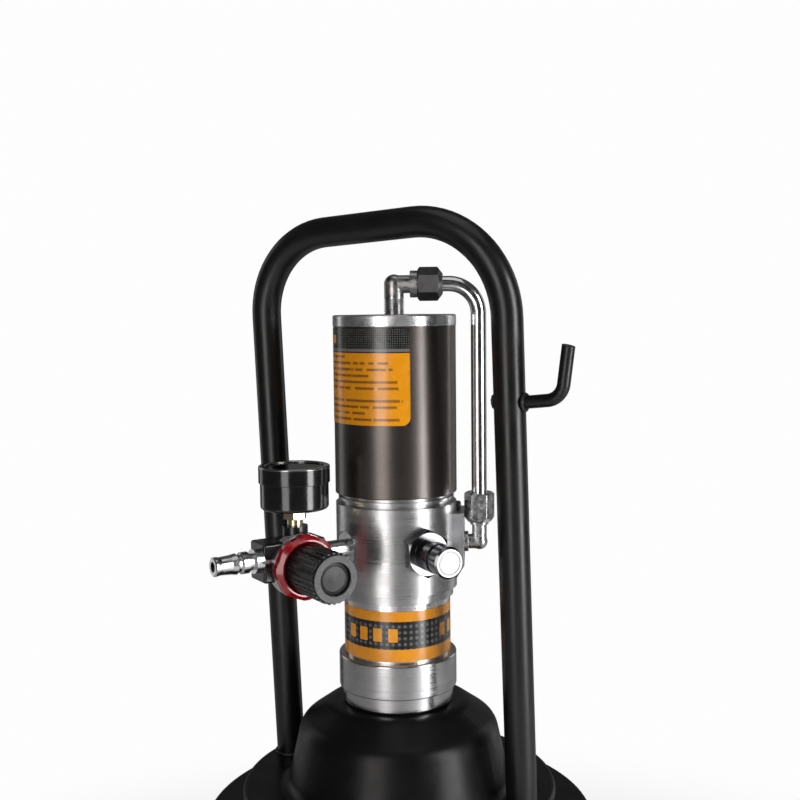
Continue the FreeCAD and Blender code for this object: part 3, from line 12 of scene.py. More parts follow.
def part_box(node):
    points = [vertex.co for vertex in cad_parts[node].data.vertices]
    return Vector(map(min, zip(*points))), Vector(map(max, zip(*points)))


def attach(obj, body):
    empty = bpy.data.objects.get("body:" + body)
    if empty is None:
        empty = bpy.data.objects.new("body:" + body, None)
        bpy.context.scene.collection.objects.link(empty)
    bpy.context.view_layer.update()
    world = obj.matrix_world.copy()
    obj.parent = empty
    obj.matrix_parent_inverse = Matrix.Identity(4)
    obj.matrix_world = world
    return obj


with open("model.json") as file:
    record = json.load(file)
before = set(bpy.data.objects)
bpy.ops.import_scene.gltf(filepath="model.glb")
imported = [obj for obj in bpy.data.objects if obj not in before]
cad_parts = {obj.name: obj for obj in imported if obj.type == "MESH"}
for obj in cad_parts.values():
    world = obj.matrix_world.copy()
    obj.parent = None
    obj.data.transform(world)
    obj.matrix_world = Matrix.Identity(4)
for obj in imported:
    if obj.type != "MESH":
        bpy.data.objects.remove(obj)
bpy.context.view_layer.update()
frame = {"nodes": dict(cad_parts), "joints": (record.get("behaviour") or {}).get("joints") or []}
MM = 0.001
UP = (0, 0, 1)

# Directions round the pump, in degrees from +X about Z. They follow the record and the CAD.
CAMERA_ANGLE = 301.7
INLET_ANGLE = 244
OUTLET_ANGLE = 327
AIR_ANGLE = 27
KNOB_ANGLE = INLET_ANGLE + 90
LABEL_END = 315.3
LABEL_SWEEP = 144
DIAL_SWEEP = 270


def joint(name):
    return next(item for item in frame["joints"] if item["name"] == name)


def middle(node):
    low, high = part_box(node)
    return (low + high) / 2


def outward(angle):
    turn = math.radians(angle)
    return Vector((math.cos(turn), math.sin(turn), 0))


# --- material builder ---------------------------------------------------------------------------------

class Look:
    """One procedural material. Each call adds nodes and returns an output socket for the next call."""

    def __init__(self, name):
        self.material = bpy.data.materials.new(name)
        self.material.use_nodes = True
        self.tree = self.material.node_tree
        self.tree.nodes.clear()
        self.output = self.add("ShaderNodeOutputMaterial")
        self.shader = self.add("ShaderNodeBsdfPrincipled")
        self.tree.links.new(self.shader.outputs[0], self.output.inputs[0])
        self.place = self.add("ShaderNodeTexCoord").outputs["Object"]

    def add(self, kind, **settings):
        node = self.tree.nodes.new(kind)
        for key, value in settings.items():
            setattr(node, key, value)
        return node

    def feed(self, socket, value):
        if isinstance(value, bpy.types.NodeSocket):
            self.tree.links.new(value, socket)
        elif isinstance(value, tuple) and len(value) == 3 and socket.type == "RGBA":
            socket.default_value = (*value, 1)
        else:
            socket.default_value = value

    def put(self, **inputs):
        """Sets inputs of the surface; an underscore stands for a space."""
        for name, value in inputs.items():
            self.feed(self.shader.inputs[name.replace("_", " ")], value)
        return self

    def math(self, operation, *values):
        node = self.add("ShaderNodeMath", operation=operation)
        for socket, value in zip(node.inputs, values):
            self.feed(socket, value)
        return node.outputs[0]

    def vector(self, operation, *values, out=0):
        node = self.add("ShaderNodeVectorMath", operation=operation)
        for socket, value in zip(node.inputs, values):
            self.feed(socket, value)
        return node.outputs[out]

    def axes(self, place=None):
        node = self.add("ShaderNodeSeparateXYZ")
        self.feed(node.inputs[0], place or self.place)
        return node.outputs[0], node.outputs[1], node.outputs[2]

    def join(self, x=0.0, y=0.0, z=0.0):
        node = self.add("ShaderNodeCombineXYZ")
        for socket, value in zip(node.inputs, (x, y, z)):
            self.feed(socket, value)
        return node.outputs[0]

    def noise(self, scale, detail=2.0, rough=0.5, place=None):
        node = self.add("ShaderNodeTexNoise")
        self.feed(node.inputs["Vector"], place or self.place)
        for name, value in (("Scale", scale), ("Detail", detail), ("Roughness", rough)):
            self.feed(node.inputs[name], value)
        return node.outputs["Fac"]

    def cells(self, scale, place=None, out="Distance"):
        node = self.add("ShaderNodeTexVoronoi")
        self.feed(node.inputs["Vector"], place or self.place)
        self.feed(node.inputs["Scale"], scale)
        return node.outputs[out]

    def ramp(self, value, low, high, start=0.0, end=1.0):
        """Smooth step of a value from low to high, given as start to end."""
        node = self.add("ShaderNodeMapRange", interpolation_type="SMOOTHSTEP")
        for socket, number in zip(node.inputs, (value, low, high, start, end)):
            self.feed(socket, number)
        return node.outputs[0]

    def between(self, value, low, high, soft):
        """One inside a band and zero outside it, with soft edges."""
        rise = self.ramp(value, low - soft, low + soft)
        fall = self.ramp(value, high - soft, high + soft, 1.0, 0.0)
        return self.math("MULTIPLY", rise, fall)

    def mix(self, share, first, second):
        node = self.add("ShaderNodeMix", data_type="RGBA")
        for name, value in ((0, share), (6, first), (7, second)):
            self.feed(node.inputs[name], value)
        return node.outputs[2]

    def blend(self, share, first, second):
        node = self.add("ShaderNodeMix", data_type="FLOAT")
        for name, value in ((0, share), (2, first), (3, second)):
            self.feed(node.inputs[name], value)
        return node.outputs[0]

    def radial(self, centre=(0, 0, 0), axis=UP):
        """(distance from an axis, distance along it) of each point."""
        offset = self.vector("SUBTRACT", self.place, tuple(centre))
        along = self.vector("DOT_PRODUCT", offset, tuple(axis), out=1)
        on_axis = self.add("ShaderNodeVectorMath", operation="SCALE")
        on_axis.inputs[0].default_value = tuple(axis)
        self.feed(on_axis.inputs["Scale"], along)
        across = self.vector("SUBTRACT", offset, on_axis.outputs[0])
        return self.vector("LENGTH", across, out=1), along

    def turning(self, centre, axis, pitch, detail=3.0):
        """Fine lathe lines: rings round an axis on faces and flanks alike."""
        reach, along = self.radial(centre, axis)
        place = self.join(self.math("MULTIPLY", reach, 1 / pitch), self.math("MULTIPLY", along, 1 / pitch),
                          0.0)
        return self.noise(1.0, detail, 0.65, place)

    def rounded(self, radius):
        """(normal with softened edges, mask of edges)."""
        node = self.add("ShaderNodeBevel", samples=4)
        node.inputs["Radius"].default_value = radius
        flat = self.add("ShaderNodeNewGeometry").outputs["Normal"]
        same = self.vector("DOT_PRODUCT", node.outputs[0], flat, out=1)
        return node.outputs[0], self.ramp(same, 0.995, 0.86)

    def bump(self, height, depth, normal=None, strength=1.0):
        node = self.add("ShaderNodeBump")
        node.inputs["Distance"].default_value = depth
        self.feed(node.inputs["Strength"], strength)
        self.feed(node.inputs["Height"], height)
        if normal is not None:
            self.feed(node.inputs["Normal"], normal)
        return node.outputs[0]


# --- finishes -----------------------------------------------------------------------------------------

def powder_coat(name, scuffs=0.0, shine=0.36):
    """Satin black powder coat: orange peel, fine grain, faint dust and lighter worn edges."""
    look = Look(name)
    normal, edge = look.rounded(0.6 * MM)
    peel = look.noise(520, 3.0, 0.5)
    grain = look.noise(2600, 2.0, 0.6)
    dust = look.noise(14, 5.0, 0.6)
    wear = look.math("MULTIPLY", edge, look.ramp(look.noise(160, 4.0), 0.48, 0.72))
    tone = look.mix(look.ramp(dust, 0.35, 0.75), (0.0032, 0.0032, 0.0034), (0.0068, 0.0067, 0.0066))
    tone = look.mix(look.math("MULTIPLY", wear, 0.5), tone, (0.07, 0.07, 0.07))
    rough = look.ramp(look.noise(60, 4.0), 0.3, 0.7, 0.29, 0.38)
    if scuffs:
        x, y, z = look.axes()
        turn = look.math("ARCTAN2", y, x)
        lines = look.noise(1.0, 3.0, 0.7, look.join(look.math("MULTIPLY", turn, 9),
                                                    look.math("MULTIPLY", z, 1300)))
        rubbed = look.math("MULTIPLY", look.ramp(lines, 0.62, 0.78),
                           look.ramp(look.noise(9, 3.0), 0.45, 0.7))
        rubbed = look.math("MULTIPLY", rubbed, scuffs)
        tone = look.mix(rubbed, tone, (0.045, 0.045, 0.046))
        rough = look.blend(rubbed, rough, 0.6)
    height = look.math("ADD", peel, look.math("MULTIPLY", grain, 0.35))
    return look.put(Base_Color=tone, Roughness=rough, Normal=look.bump(height, 0.045 * MM, normal),
                    Specular_IOR_Level=shine, Coat_Weight=0.2 * shine, Coat_Roughness=0.22)


def turned_metal(name, colour, rough, centre=(0, 0, 0), axis=UP, pitch=0.32 * MM, depth=0.006 * MM,
                 stain=0.25, grain=0.0, patchy=1.0):
    """Machined bright metal with lathe lines, blotches of oxide and polished edges."""
    look = Look(name)
    normal, edge = look.rounded(0.35 * MM)
    lines = look.turning(centre, axis, pitch)
    wide = look.turning(centre, axis, pitch * 9, 2.0)
    blotch = look.noise(85, 5.0, 0.62)
    fine = look.noise(900, 3.0, 0.6)
    dark = tuple(part * 0.62 for part in colour)
    tone = look.mix(look.math("MULTIPLY", look.ramp(blotch, 0.42, 0.68), stain), colour, dark)
    tone = look.mix(look.math("MULTIPLY", look.ramp(wide, 0.35, 0.7), 0.16), tone, dark)
    polished = tuple(min(part * 1.15, 0.95) for part in colour)
    tone = look.mix(look.math("MULTIPLY", edge, 0.5), tone, polished)
    smooth, dull = rough * (1 - 0.25 * patchy), rough * (1 + 0.35 * patchy)
    gloss = look.math("ADD", look.ramp(blotch, 0.3, 0.7, smooth, dull),
                      look.ramp(lines, 0.3, 0.7, -0.05, 0.07))
    height = look.math("ADD", lines, look.math("MULTIPLY", fine, grain))
    return look.put(Base_Color=tone, Metallic=1.0, Roughness=gloss, Normal=look.bump(height, depth, normal))


def forged_metal(name, colour, rough, lumps=0.09 * MM, scale=330.0):
    """Plated forging: small hammered lumps, pits and a bright worn edge."""
    look = Look(name)
    normal, edge = look.rounded(0.5 * MM)
    lump = look.noise(scale, 4.0, 0.55)
    pits = look.ramp(look.cells(scale * 2.1), 0.05, 0.32)
    dark = tuple(part * 0.5 for part in colour)
    tone = look.mix(look.math("MULTIPLY", look.ramp(look.noise(210, 4.0), 0.45, 0.7), 0.45), colour, dark)
    tone = look.mix(look.math("MULTIPLY", edge, 0.6), tone, (0.9, 0.9, 0.9))
    height = look.math("ADD", lump, look.math("MULTIPLY", pits, 0.18))
    gloss = look.ramp(lump, 0.3, 0.7, rough * 0.7, rough * 1.5)
    return look.put(Base_Color=tone, Metallic=1.0, Roughness=gloss, Normal=look.bump(height, lumps, normal))


def chrome_tube(name):
    """Bright drawn tube: faint lines along the run and soft waviness."""
    look = Look(name)
    wave = look.noise(70, 3.0, 0.5)
    fine = look.noise(1500, 2.0, 0.5)
    tone = look.mix(look.ramp(wave, 0.4, 0.75, 0.0, 0.35), (0.74, 0.74, 0.75), (0.5, 0.5, 0.51))
    rough = look.ramp(look.noise(240, 4.0), 0.35, 0.7, 0.10, 0.2)
    height = look.math("ADD", wave, look.math("MULTIPLY", fine, 0.04))
    return look.put(Base_Color=tone, Metallic=1.0, Roughness=rough, Normal=look.bump(height, 0.12 * MM))


def bronze_anodised(name):
    """Dark bronze cylinder tube with fine grain, soft clouds and lines drawn along it."""
    look = Look(name)
    grain = look.noise(3400, 2.0, 0.7)
    cloud = look.noise(26, 4.0, 0.55)
    x, y, z = look.axes()
    turn = look.math("ARCTAN2", y, x)
    drawn = look.noise(1.0, 3.0, 0.6, look.join(look.math("MULTIPLY", turn, 190),
                                                look.math("MULTIPLY", z, 5)))
    tone = look.mix(look.ramp(cloud, 0.3, 0.75), (0.058, 0.046, 0.040), (0.082, 0.066, 0.058))
    tone = look.mix(look.ramp(grain, 0.45, 0.8, 0.0, 0.35), tone, (0.22, 0.19, 0.17))
    rough = look.math("ADD", look.ramp(grain, 0.3, 0.7, 0.24, 0.36),
                      look.ramp(drawn, 0.3, 0.7, -0.03, 0.04))
    height = look.math("ADD", grain, look.math("MULTIPLY", drawn, 0.6))
    return look.put(Base_Color=tone, Metallic=0.9, Roughness=rough, Normal=look.bump(height, 0.02 * MM),
                    Coat_Weight=1.0, Coat_Roughness=0.28)


def moulded_plastic(name, colour, rough, light=None, grain=1900.0, depth=0.03 * MM, coat=0.0):
    """Moulded plastic with a fine spark texture, handling shine and paler edges."""
    look = Look(name)
    normal, edge = look.rounded(0.3 * MM)
    fine = look.noise(grain, 3.0, 0.6)
    smear = look.noise(110, 4.0, 0.6)
    light = light or tuple(part * 2.2 + 0.01 for part in colour)
    tone = look.mix(look.ramp(smear, 0.4, 0.8, 0.0, 0.4), colour, light)
    tone = look.mix(look.math("MULTIPLY", edge, 0.45), tone, tuple(part * 1.8 + 0.01 for part in light))
    gloss = look.ramp(smear, 0.3, 0.7, rough * 0.82, rough * 1.2)
    return look.put(Base_Color=tone, Roughness=gloss, Normal=look.bump(fine, depth, normal),
                    Coat_Weight=coat, Coat_Roughness=0.08)


def red_ring(name):
    """Glossy red ring nut with faint flow marks and a painted pink highlight on its corners."""
    look = Look(name)
    normal, edge = look.rounded(0.5 * MM)
    flow = look.noise(150, 4.0, 0.6)
    tone = look.mix(look.ramp(flow, 0.35, 0.75), (0.28, 0.001, 0.005), (0.40, 0.003, 0.010))
    # Painted highlight: the ring's corners are lightened to pink, standing in for the highlight lines along
    # its edges.
    tone = look.mix(look.math("MULTIPLY", edge, 0.55), tone, (0.70, 0.08, 0.09))
    return look.put(Base_Color=tone, Roughness=look.ramp(flow, 0.3, 0.7, 0.2, 0.32),
                    Normal=look.bump(flow, 0.005 * MM, normal), Coat_Weight=1.0, Coat_Roughness=0.07)


def grainy_print(name):
    """Light grey end ring of the knob, speckled with dark grain."""
    look = Look(name)
    speck = look.ramp(look.noise(2600, 3.0, 0.8), 0.4, 0.62)
    tone = look.mix(speck, (0.05, 0.05, 0.05), (0.25, 0.25, 0.26))
    return look.put(Base_Color=tone, Roughness=0.55, Metallic=0.15, Normal=look.bump(speck, 0.04 * MM))


def rubber(name):
    look = Look(name)
    fine = look.noise(1200, 4.0, 0.7)
    tone = look.mix(look.ramp(look.noise(90, 4.0), 0.4, 0.75), (0.012, 0.012, 0.012), (0.03, 0.03, 0.029))
    return look.put(Base_Color=tone, Roughness=look.ramp(fine, 0.3, 0.7, 0.6, 0.85),
                    Normal=look.bump(fine, 0.06 * MM))


def gauge_black(name):
    """Gloss black gauge case; the top of its bezel is a bright polished rim."""
    look = Look(name)
    normal, edge = look.rounded(0.4 * MM)
    z = look.axes()[2]
    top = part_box("gauge_bezel")[1].z
    bare = look.ramp(z, top - 1.3 * MM, top - 0.7 * MM)
    swirl = look.noise(120, 5.0, 0.6)
    tone = look.mix(look.math("MULTIPLY", edge, 0.3), (0.006, 0.006, 0.007), (0.05, 0.05, 0.05))
    rim = look.mix(look.ramp(swirl, 0.4, 0.7), (0.42, 0.42, 0.42), (0.28, 0.28, 0.28))
    tone = look.mix(bare, tone, rim)
    rough = look.ramp(swirl, 0.35, 0.7, 0.14, 0.24)
    return look.put(Base_Color=tone, Metallic=bare, Roughness=rough, Coat_Weight=0.4, Coat_Roughness=0.05,
                    Normal=look.bump(look.noise(260, 3.0), 0.05 * MM, normal))


def clear_window(name):
    """Thin clear window that lets the light through to the dial."""
    look = Look(name)
    smear = look.noise(90, 4.0, 0.6)
    clear = look.add("ShaderNodeBsdfTransparent")
    gloss = look.add("ShaderNodeBsdfGlossy")
    look.feed(clear.inputs["Color"], (0.97, 0.98, 0.98))
    look.feed(gloss.inputs["Roughness"], look.ramp(smear, 0.4, 0.8, 0.02, 0.09))
    fresnel = look.add("ShaderNodeFresnel")
    fresnel.inputs["IOR"].default_value = 1.47
    both = look.add("ShaderNodeMixShader")
    look.feed(both.inputs[0], fresnel.outputs[0])
    look.tree.links.new(clear.outputs[0], both.inputs[1])
    look.tree.links.new(gloss.outputs[0], both.inputs[2])
    look.tree.links.new(both.outputs[0], look.output.inputs[0])
    look.tree.nodes.remove(look.shader)
    return look


def dial_face(name):
    """White dial: a scale arc over three quarters of a turn, ticks every eighth and finer ticks between."""
    look = Look(name)
    centre = joint("pointer_sweep")["pos_m"]
    offset = look.vector("SUBTRACT", look.place, tuple(centre))
    x, y = look.axes(look.vector("MULTIPLY", offset, (1, 1, 0)))[:2]
    reach = look.vector("LENGTH", look.join(x, y, 0.0), out=1)
    zero = math.radians(KNOB_ANGLE - DIAL_SWEEP / 2)
    turn = look.math("SUBTRACT", zero, look.math("ARCTAN2", y, x))
    turn = look.math("FLOORED_MODULO", turn, 2 * math.pi)
    sweep = math.radians(DIAL_SWEEP)
    inside = look.between(turn, -0.02, sweep + 0.02, 0.012)

    def ticks(count, thick, low, high):
        step = sweep / count
        shifted = look.math("ADD", turn, step / 2)
        within = look.math("FLOORED_MODULO", shifted, step)
        off = look.math("ABSOLUTE", look.math("SUBTRACT", within, step / 2))
        narrow = look.ramp(look.math("MULTIPLY", off, reach), thick * 0.8, thick * 1.2, 1.0, 0.0)
        return look.math("MULTIPLY", narrow, look.between(reach, low, high, 0.05 * MM))

    marks = look.math("MAXIMUM", ticks(8, 0.28 * MM, 12.6 * MM, 16.4 * MM),
                      ticks(40, 0.14 * MM, 14.6 * MM, 16.4 * MM))
    marks = look.math("MAXIMUM", marks, look.between(reach, 16.2 * MM, 16.5 * MM, 0.05 * MM))
    marks = look.math("MULTIPLY", marks, inside)
    paper = look.mix(look.ramp(look.noise(200, 4.0), 0.4, 0.7), (0.80, 0.80, 0.78), (0.74, 0.74, 0.71))
    return look.put(Base_Color=look.mix(marks, paper, (0.02, 0.02, 0.02)), Roughness=0.45,
                    Normal=look.bump(look.noise(900, 2.0), 0.01 * MM))


def woven_black(look, across, up, size):
    """Black and grey basket pattern printed on the film; across and up are metres on the film."""
    place = look.join(look.math("MULTIPLY", across, 1 / size), look.math("MULTIPLY", up, 1 / size), 0.0)
    turned = look.add("ShaderNodeVectorRotate", rotation_type="Z_AXIS")
    look.feed(turned.inputs["Vector"], place)
    turned.inputs["Angle"].default_value = math.radians(45)
    u, v = look.axes(turned.outputs[0])[:2]
    waves = look.math("MULTIPLY", look.math("SINE", look.math("MULTIPLY", u, math.pi)),
                      look.math("SINE", look.math("MULTIPLY", v, math.pi)))
    return look.mix(look.ramp(waves, 0.1, 0.5), (0.003, 0.003, 0.003), (0.12, 0.12, 0.117))


ORANGE = (0.86, 0.33, 0.004)


def printed_film(look, colour, normal_depth):
    """Finish shared by the two printed films, with a slight waviness where air lies under them."""
    rough = look.ramp(look.noise(140, 3.0), 0.3, 0.7, 0.2, 0.32)
    wave = look.noise(95, 3.0, 0.5)
    return look.put(Base_Color=colour, Roughness=rough, Normal=look.bump(wave, normal_depth),
                    Coat_Weight=0.5, Coat_Roughness=0.16)


# Where the printed bars begin on each label row, from the bottom row up, in mm from the label's right end.
ROW_STARTS = (6.8, 29.2, 8.4, 4.7, 200.0, 7.3, 7.9, 26.3, 10.8, 13.7, 45.5)


def cylinder_film(name):
    """Label on the tube: patterned black header, thin grey line and an orange field of plain bars."""
    look = Look(name)
    low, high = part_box("cylinder_label")
    x, y, z = look.axes()
    radius = 39.9 * MM
    end = math.radians(LABEL_END)
    turn = look.math("FLOORED_MODULO", look.math("ARCTAN2", y, x), 2 * math.pi)
    across = look.math("MULTIPLY", look.math("SUBTRACT", end, turn), radius)
    up = look.math("SUBTRACT", z, low.z)
    width, height = math.radians(LABEL_SWEEP) * radius, high.z - low.z
    header = look.ramp(up, height - 12.3 * MM, height - 12.1 * MM)
    line = look.between(up, height - 14.5 * MM, height - 12.7 * MM, 0.1 * MM)
    field = look.ramp(up, height - 15.4 * MM, height - 15.2 * MM, 1.0, 0.0)

    pitch, first = 3.89 * MM, 3.65 * MM
    level = look.math("DIVIDE", look.math("SUBTRACT", up, first - pitch / 2), pitch)
    row = look.math("FLOOR", level)
    inside_row = look.between(look.math("FRACT", level), 0.3, 0.7, 0.05)
    margin = 0.0
    for number, start in enumerate(ROW_STARTS):
        here = look.math("COMPARE", row, number, 0.4)
        margin = look.math("ADD", margin, look.math("MULTIPLY", here, start * MM))
    inked = look.math("MULTIPLY", inside_row, look.math("GREATER_THAN", across, margin))
    inked = look.math("MULTIPLY", inked, look.math("LESS_THAN", across, width - 6 * MM))
    gaps = look.noise(1.0, 1.0, 0.5, look.join(look.math("MULTIPLY", across, 270),
                                               look.math("MULTIPLY", row, 5.3)))
    inked = look.math("MULTIPLY", inked, look.ramp(gaps, 0.36, 0.4))
    inked = look.math("MULTIPLY", inked, look.between(row, -0.5, len(ROW_STARTS) - 0.5, 0.1))

    faded = look.mix(look.ramp(look.noise(30, 4.0), 0.35, 0.75), ORANGE, (0.78, 0.29, 0.004))
    ink = look.mix(look.math("MULTIPLY", inked, 0.72), faded, (0.05, 0.022, 0.005))
    mark = look.between(look.math("FLOORED_MODULO", across, 11 * MM), 2.2 * MM, 9.4 * MM, 0.1 * MM)
    mark = look.math("MULTIPLY", mark, look.between(up, height - 9.6 * MM, height - 4.4 * MM, 0.1 * MM))
    mark = look.math("MULTIPLY", mark, look.between(across, 55 * MM, width - 8 * MM, 0.1 * MM))
    top = look.mix(mark, woven_black(look, across, up, 1.0 * MM), ORANGE)
    colour = look.mix(header, (0.012, 0.011, 0.01), top)
    colour = look.mix(line, colour, (0.16, 0.155, 0.15))
    colour = look.mix(field, colour, ink)

    bend = 5.2 * MM
    corner = look.math("SUBTRACT", bend, across)
    for level_of_corner in (up, look.math("SUBTRACT", height, up)):
        rest = look.math("SUBTRACT", bend, level_of_corner)
        outside = look.join(look.math("MAXIMUM", corner, 0.0), look.math("MAXIMUM", rest, 0.0))
        reach = look.vector("LENGTH", outside, out=1)
        bare = look.ramp(reach, bend - 0.08 * MM, bend + 0.08 * MM)
        colour = look.mix(bare, colour, (0.02, 0.016, 0.014))
    return printed_film(look, colour, 0.05 * MM)


def neck_film(name):
    """Band round the neck: orange edges, patterned black middle and groups of plain orange blocks."""
    look = Look(name)
    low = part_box("neck_band")[0]
    x, y, z = look.axes()
    radius = 35 * MM
    turn = look.math("FLOORED_MODULO", look.math("ARCTAN2", y, x), 2 * math.pi)
    across = look.math("MULTIPLY", turn, radius)
    up = look.math("SUBTRACT", z, low.z)
    dark = look.between(up, 8.1 * MM, 26.1 * MM, 0.12 * MM)
    weave = woven_black(look, across, up, 2.7 * MM)
    blocks = None
    for start in (240.1, 350.2, 115.0):
        begin = math.radians(start) * radius
        local = look.math("FLOORED_MODULO", look.math("SUBTRACT", across, begin), 2 * math.pi * radius)
        group = look.math("LESS_THAN", local, 39 * MM)
        block = look.between(look.math("FLOORED_MODULO", local, 10.2 * MM), 1.0 * MM, 7.0 * MM, 0.1 * MM)
        block = look.math("MULTIPLY", block, group)
        blocks = block if blocks is None else look.math("MAXIMUM", blocks, block)
    blocks = look.math("MULTIPLY", blocks, look.between(up, 12.9 * MM, 21.5 * MM, 0.1 * MM))
    faded = look.mix(look.ramp(look.noise(35, 4.0), 0.35, 0.75), ORANGE, (0.78, 0.29, 0.004))
    colour = look.mix(dark, faded, look.mix(blocks, weave, ORANGE))
    return printed_film(look, colour, 0.04 * MM)


def weld_metal(name):
    """Weld bead under black paint, with heat ripples."""
    look = Look(name)
    ripple = look.noise(700, 4.0, 0.6)
    tone = look.mix(look.ramp(ripple, 0.4, 0.75), (0.008, 0.008, 0.008), (0.02, 0.02, 0.02))
    return look.put(Base_Color=tone, Roughness=look.ramp(ripple, 0.3, 0.7, 0.3, 0.5),
                    Normal=look.bump(ripple, 0.15 * MM))


BRIGHT = (0.83, 0.83, 0.84)
STEEL = (0.56, 0.56, 0.57)
GREY_STEEL = (0.13, 0.13, 0.135)
regulator = Vector(joint("knob_turn")["pos_m"])
outlet_axis = tuple(outward(OUTLET_ANGLE))
inlet_axis = tuple(outward(INLET_ANGLE))
port = (0, 0, regulator.z + 5.6 * MM)      # the regulator's axis sits this far under the ports

powder = powder_coat("powder_black", shine=0.48)
powder_cover = powder_coat("powder_black_cover", shine=0.2)
powder_drum = powder_coat("powder_black_drum", scuffs=0.55)
seal = rubber("seal_rubber")
plated = turned_metal("plated_steel", STEEL, 0.3, stain=0.4)
inlet_fitting = turned_metal("bright_fitting_inlet", (0.72, 0.72, 0.73), 0.2, centre=port,
                             axis=inlet_axis, pitch=0.4 * MM)
gauge = gauge_black("gauge_black")
air_fitting = forged_metal("forged_nickel", (0.46, 0.46, 0.46), 0.3)

LOOKS = {
    "cylinder_cap": turned_metal("machined_cap", BRIGHT, 0.27, pitch=0.25 * MM, stain=0.15),
    "pump_head": turned_metal("machined_head", (0.60, 0.60, 0.61), 0.3, pitch=0.45 * MM, depth=0.006 * MM,
                              stain=0.12, grain=0.8, patchy=0.3),
    "neck": turned_metal("machined_neck", BRIGHT, 0.25),
    "collar": turned_metal("machined_collar", (0.55, 0.55, 0.56), 0.22, pitch=0.5 * MM, depth=0.014 * MM,
                           stain=0.2, grain=0.9, patchy=0.5),
    "cylinder_tube": bronze_anodised("bronze_anodised"),
    "lower_nut": forged_metal("cast_zinc_nut", (0.78, 0.78, 0.78), 0.2, lumps=0.16 * MM, scale=260.0),
    "upper_nut": turned_metal("phosphated_nut", GREY_STEEL, 0.42, centre=(0, 0, middle("upper_nut").z),
                              axis=tuple(outward(AIR_ANGLE)), stain=0.3),
    "air_tube": chrome_tube("chrome_tube"),
    "outlet_fitting": turned_metal("chrome_outlet", (0.20, 0.20, 0.21), 0.12, centre=port,
                                   axis=outlet_axis, pitch=1.1 * MM, depth=0.02 * MM),
    "bonnet_ring": turned_metal("bright_bonnet_ring", (0.82, 0.82, 0.83), 0.34, centre=regulator,
                                axis=tuple(outward(KNOB_ANGLE)), pitch=0.5 * MM),
    "gauge_stem": turned_metal("turned_brass", (0.88, 0.74, 0.47), 0.2, centre=middle("gauge_stem"),
                               stain=0.2),
    "ring_nut": red_ring("red_ring"),
    "regulator_body": moulded_plastic("regulator_black", (0.005, 0.005, 0.0055), 0.26, coat=0.15),
    "regulator_bonnet": moulded_plastic("black_plastic", (0.006, 0.006, 0.0065), 0.32),
    "adjusting_knob": moulded_plastic("knob_black", (0.004, 0.004, 0.004), 0.26),
    "knob_centre_cap": moulded_plastic("knob_cap_grey", (0.012, 0.012, 0.013), 0.45,
                                       light=(0.04, 0.04, 0.04), grain=2600.0),
    "exhaust_plug": moulded_plastic("plug_black", (0.012, 0.012, 0.012), 0.14, coat=0.5),
    "gauge_pointer": moulded_plastic("pointer_black", (0.012, 0.012, 0.012), 0.4),
    "knob_end_ring": grainy_print("grainy_ring"),
    "cylinder_label": cylinder_film("cylinder_film"),
    "neck_band": neck_film("neck_film"),
    "gauge_lens": clear_window("clear_window"),
    "gauge_dial": dial_face("dial_face"),
    "outlet_cap": moulded_plastic("white_plug", (0.78, 0.78, 0.78), 0.3, light=(0.84, 0.84, 0.84)),
}
SHARED_LOOKS = (
    (powder, ("handle", "hose_hook", "cover_claws", "clamp_ring_nut")),
    (powder_cover, ("drum_cover",)),
    (powder_drum, ("drum", "clamp_ears")),
    (air_fitting, ("upper_elbow", "lower_elbow")),
    (inlet_fitting, ("inlet_pipe", "air_nipple")),
    (gauge, ("gauge_case", "gauge_bezel")),
    (seal, ("cover_gasket", "cylinder_seals", "piston_seal", "rod_seal", "follower_wiper")),
    (plated, ("clamp_pins", "air_piston", "piston_rod", "plunger", "plunger_ball", "valve_spool",
              "suction_tube", "foot_valve", "foot_ball", "strainer", "adjusting_screw", "follower_plate")),
    (plated, [f"{part}_{number}" for part in ("swing_bolt", "wing_nut") for number in (1, 2, 3)]),
)
for look, nodes in SHARED_LOOKS:
    for node in nodes:
        LOOKS[node] = look

for node, item in frame["nodes"].items():
    item.data.materials.clear()
    item.data.materials.append(LOOKS[node].material)


# --- added pieces -------------------------------------------------------------------------------------

def piece(name, points, faces, look, body="stand", smooth=True):
    """A mesh piece that rides on a CAD body."""
    mesh = bpy.data.meshes.new(name)
    mesh.from_pydata(points, [], faces)
    mesh.polygons.foreach_set("use_smooth", [smooth] * len(mesh.polygons))
    mesh.update()
    item = bpy.data.objects.new(name, mesh)
    bpy.context.scene.collection.objects.link(item)
    item.data.materials.append(look.material)
    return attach(item, body)


def weld_bead(name, centre, axis, radius, thickness, ripples, seed):
    """Rippled weld bead round a tube: overlapping puddles of slightly uneven size."""
    axis = Vector(axis).normalized()
    turn = Vector(UP).rotation_difference(axis)
    around, across = 144, 12
    points, faces = [], []
    for step in range(around):
        angle = 2 * math.pi * step / around
        puddle = abs(math.sin(ripples * angle / 2 + seed))
        size = thickness * (0.82 + 0.16 * puddle + 0.08 * math.sin(3 * angle + seed))
        for ring in range(across):
            phase = 2 * math.pi * ring / across
            reach = radius + size * math.cos(phase)
            local = Vector((reach * math.cos(angle), reach * math.sin(angle), 0.8 * size * math.sin(phase)))
            points.append(tuple(Vector(centre) + turn @ local))
    for step in range(around):
        for ring in range(across):
            first, second = step * across, (step + 1) % around * across
            after = (ring + 1) % across
            faces.append((first + ring, second + ring, second + after, first + after))
    return piece(name, points, faces, weld)


def end_centre(node, axis, side, depth):
    """Middle of the part of a node within a depth of its lowest (0) or highest (1) end along an axis."""
    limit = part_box(node)[side][axis]
    near = [v.co for v in frame["nodes"][node].data.vertices if abs(v.co[axis] - limit) < depth]
    return sum(near, Vector()) / len(near)


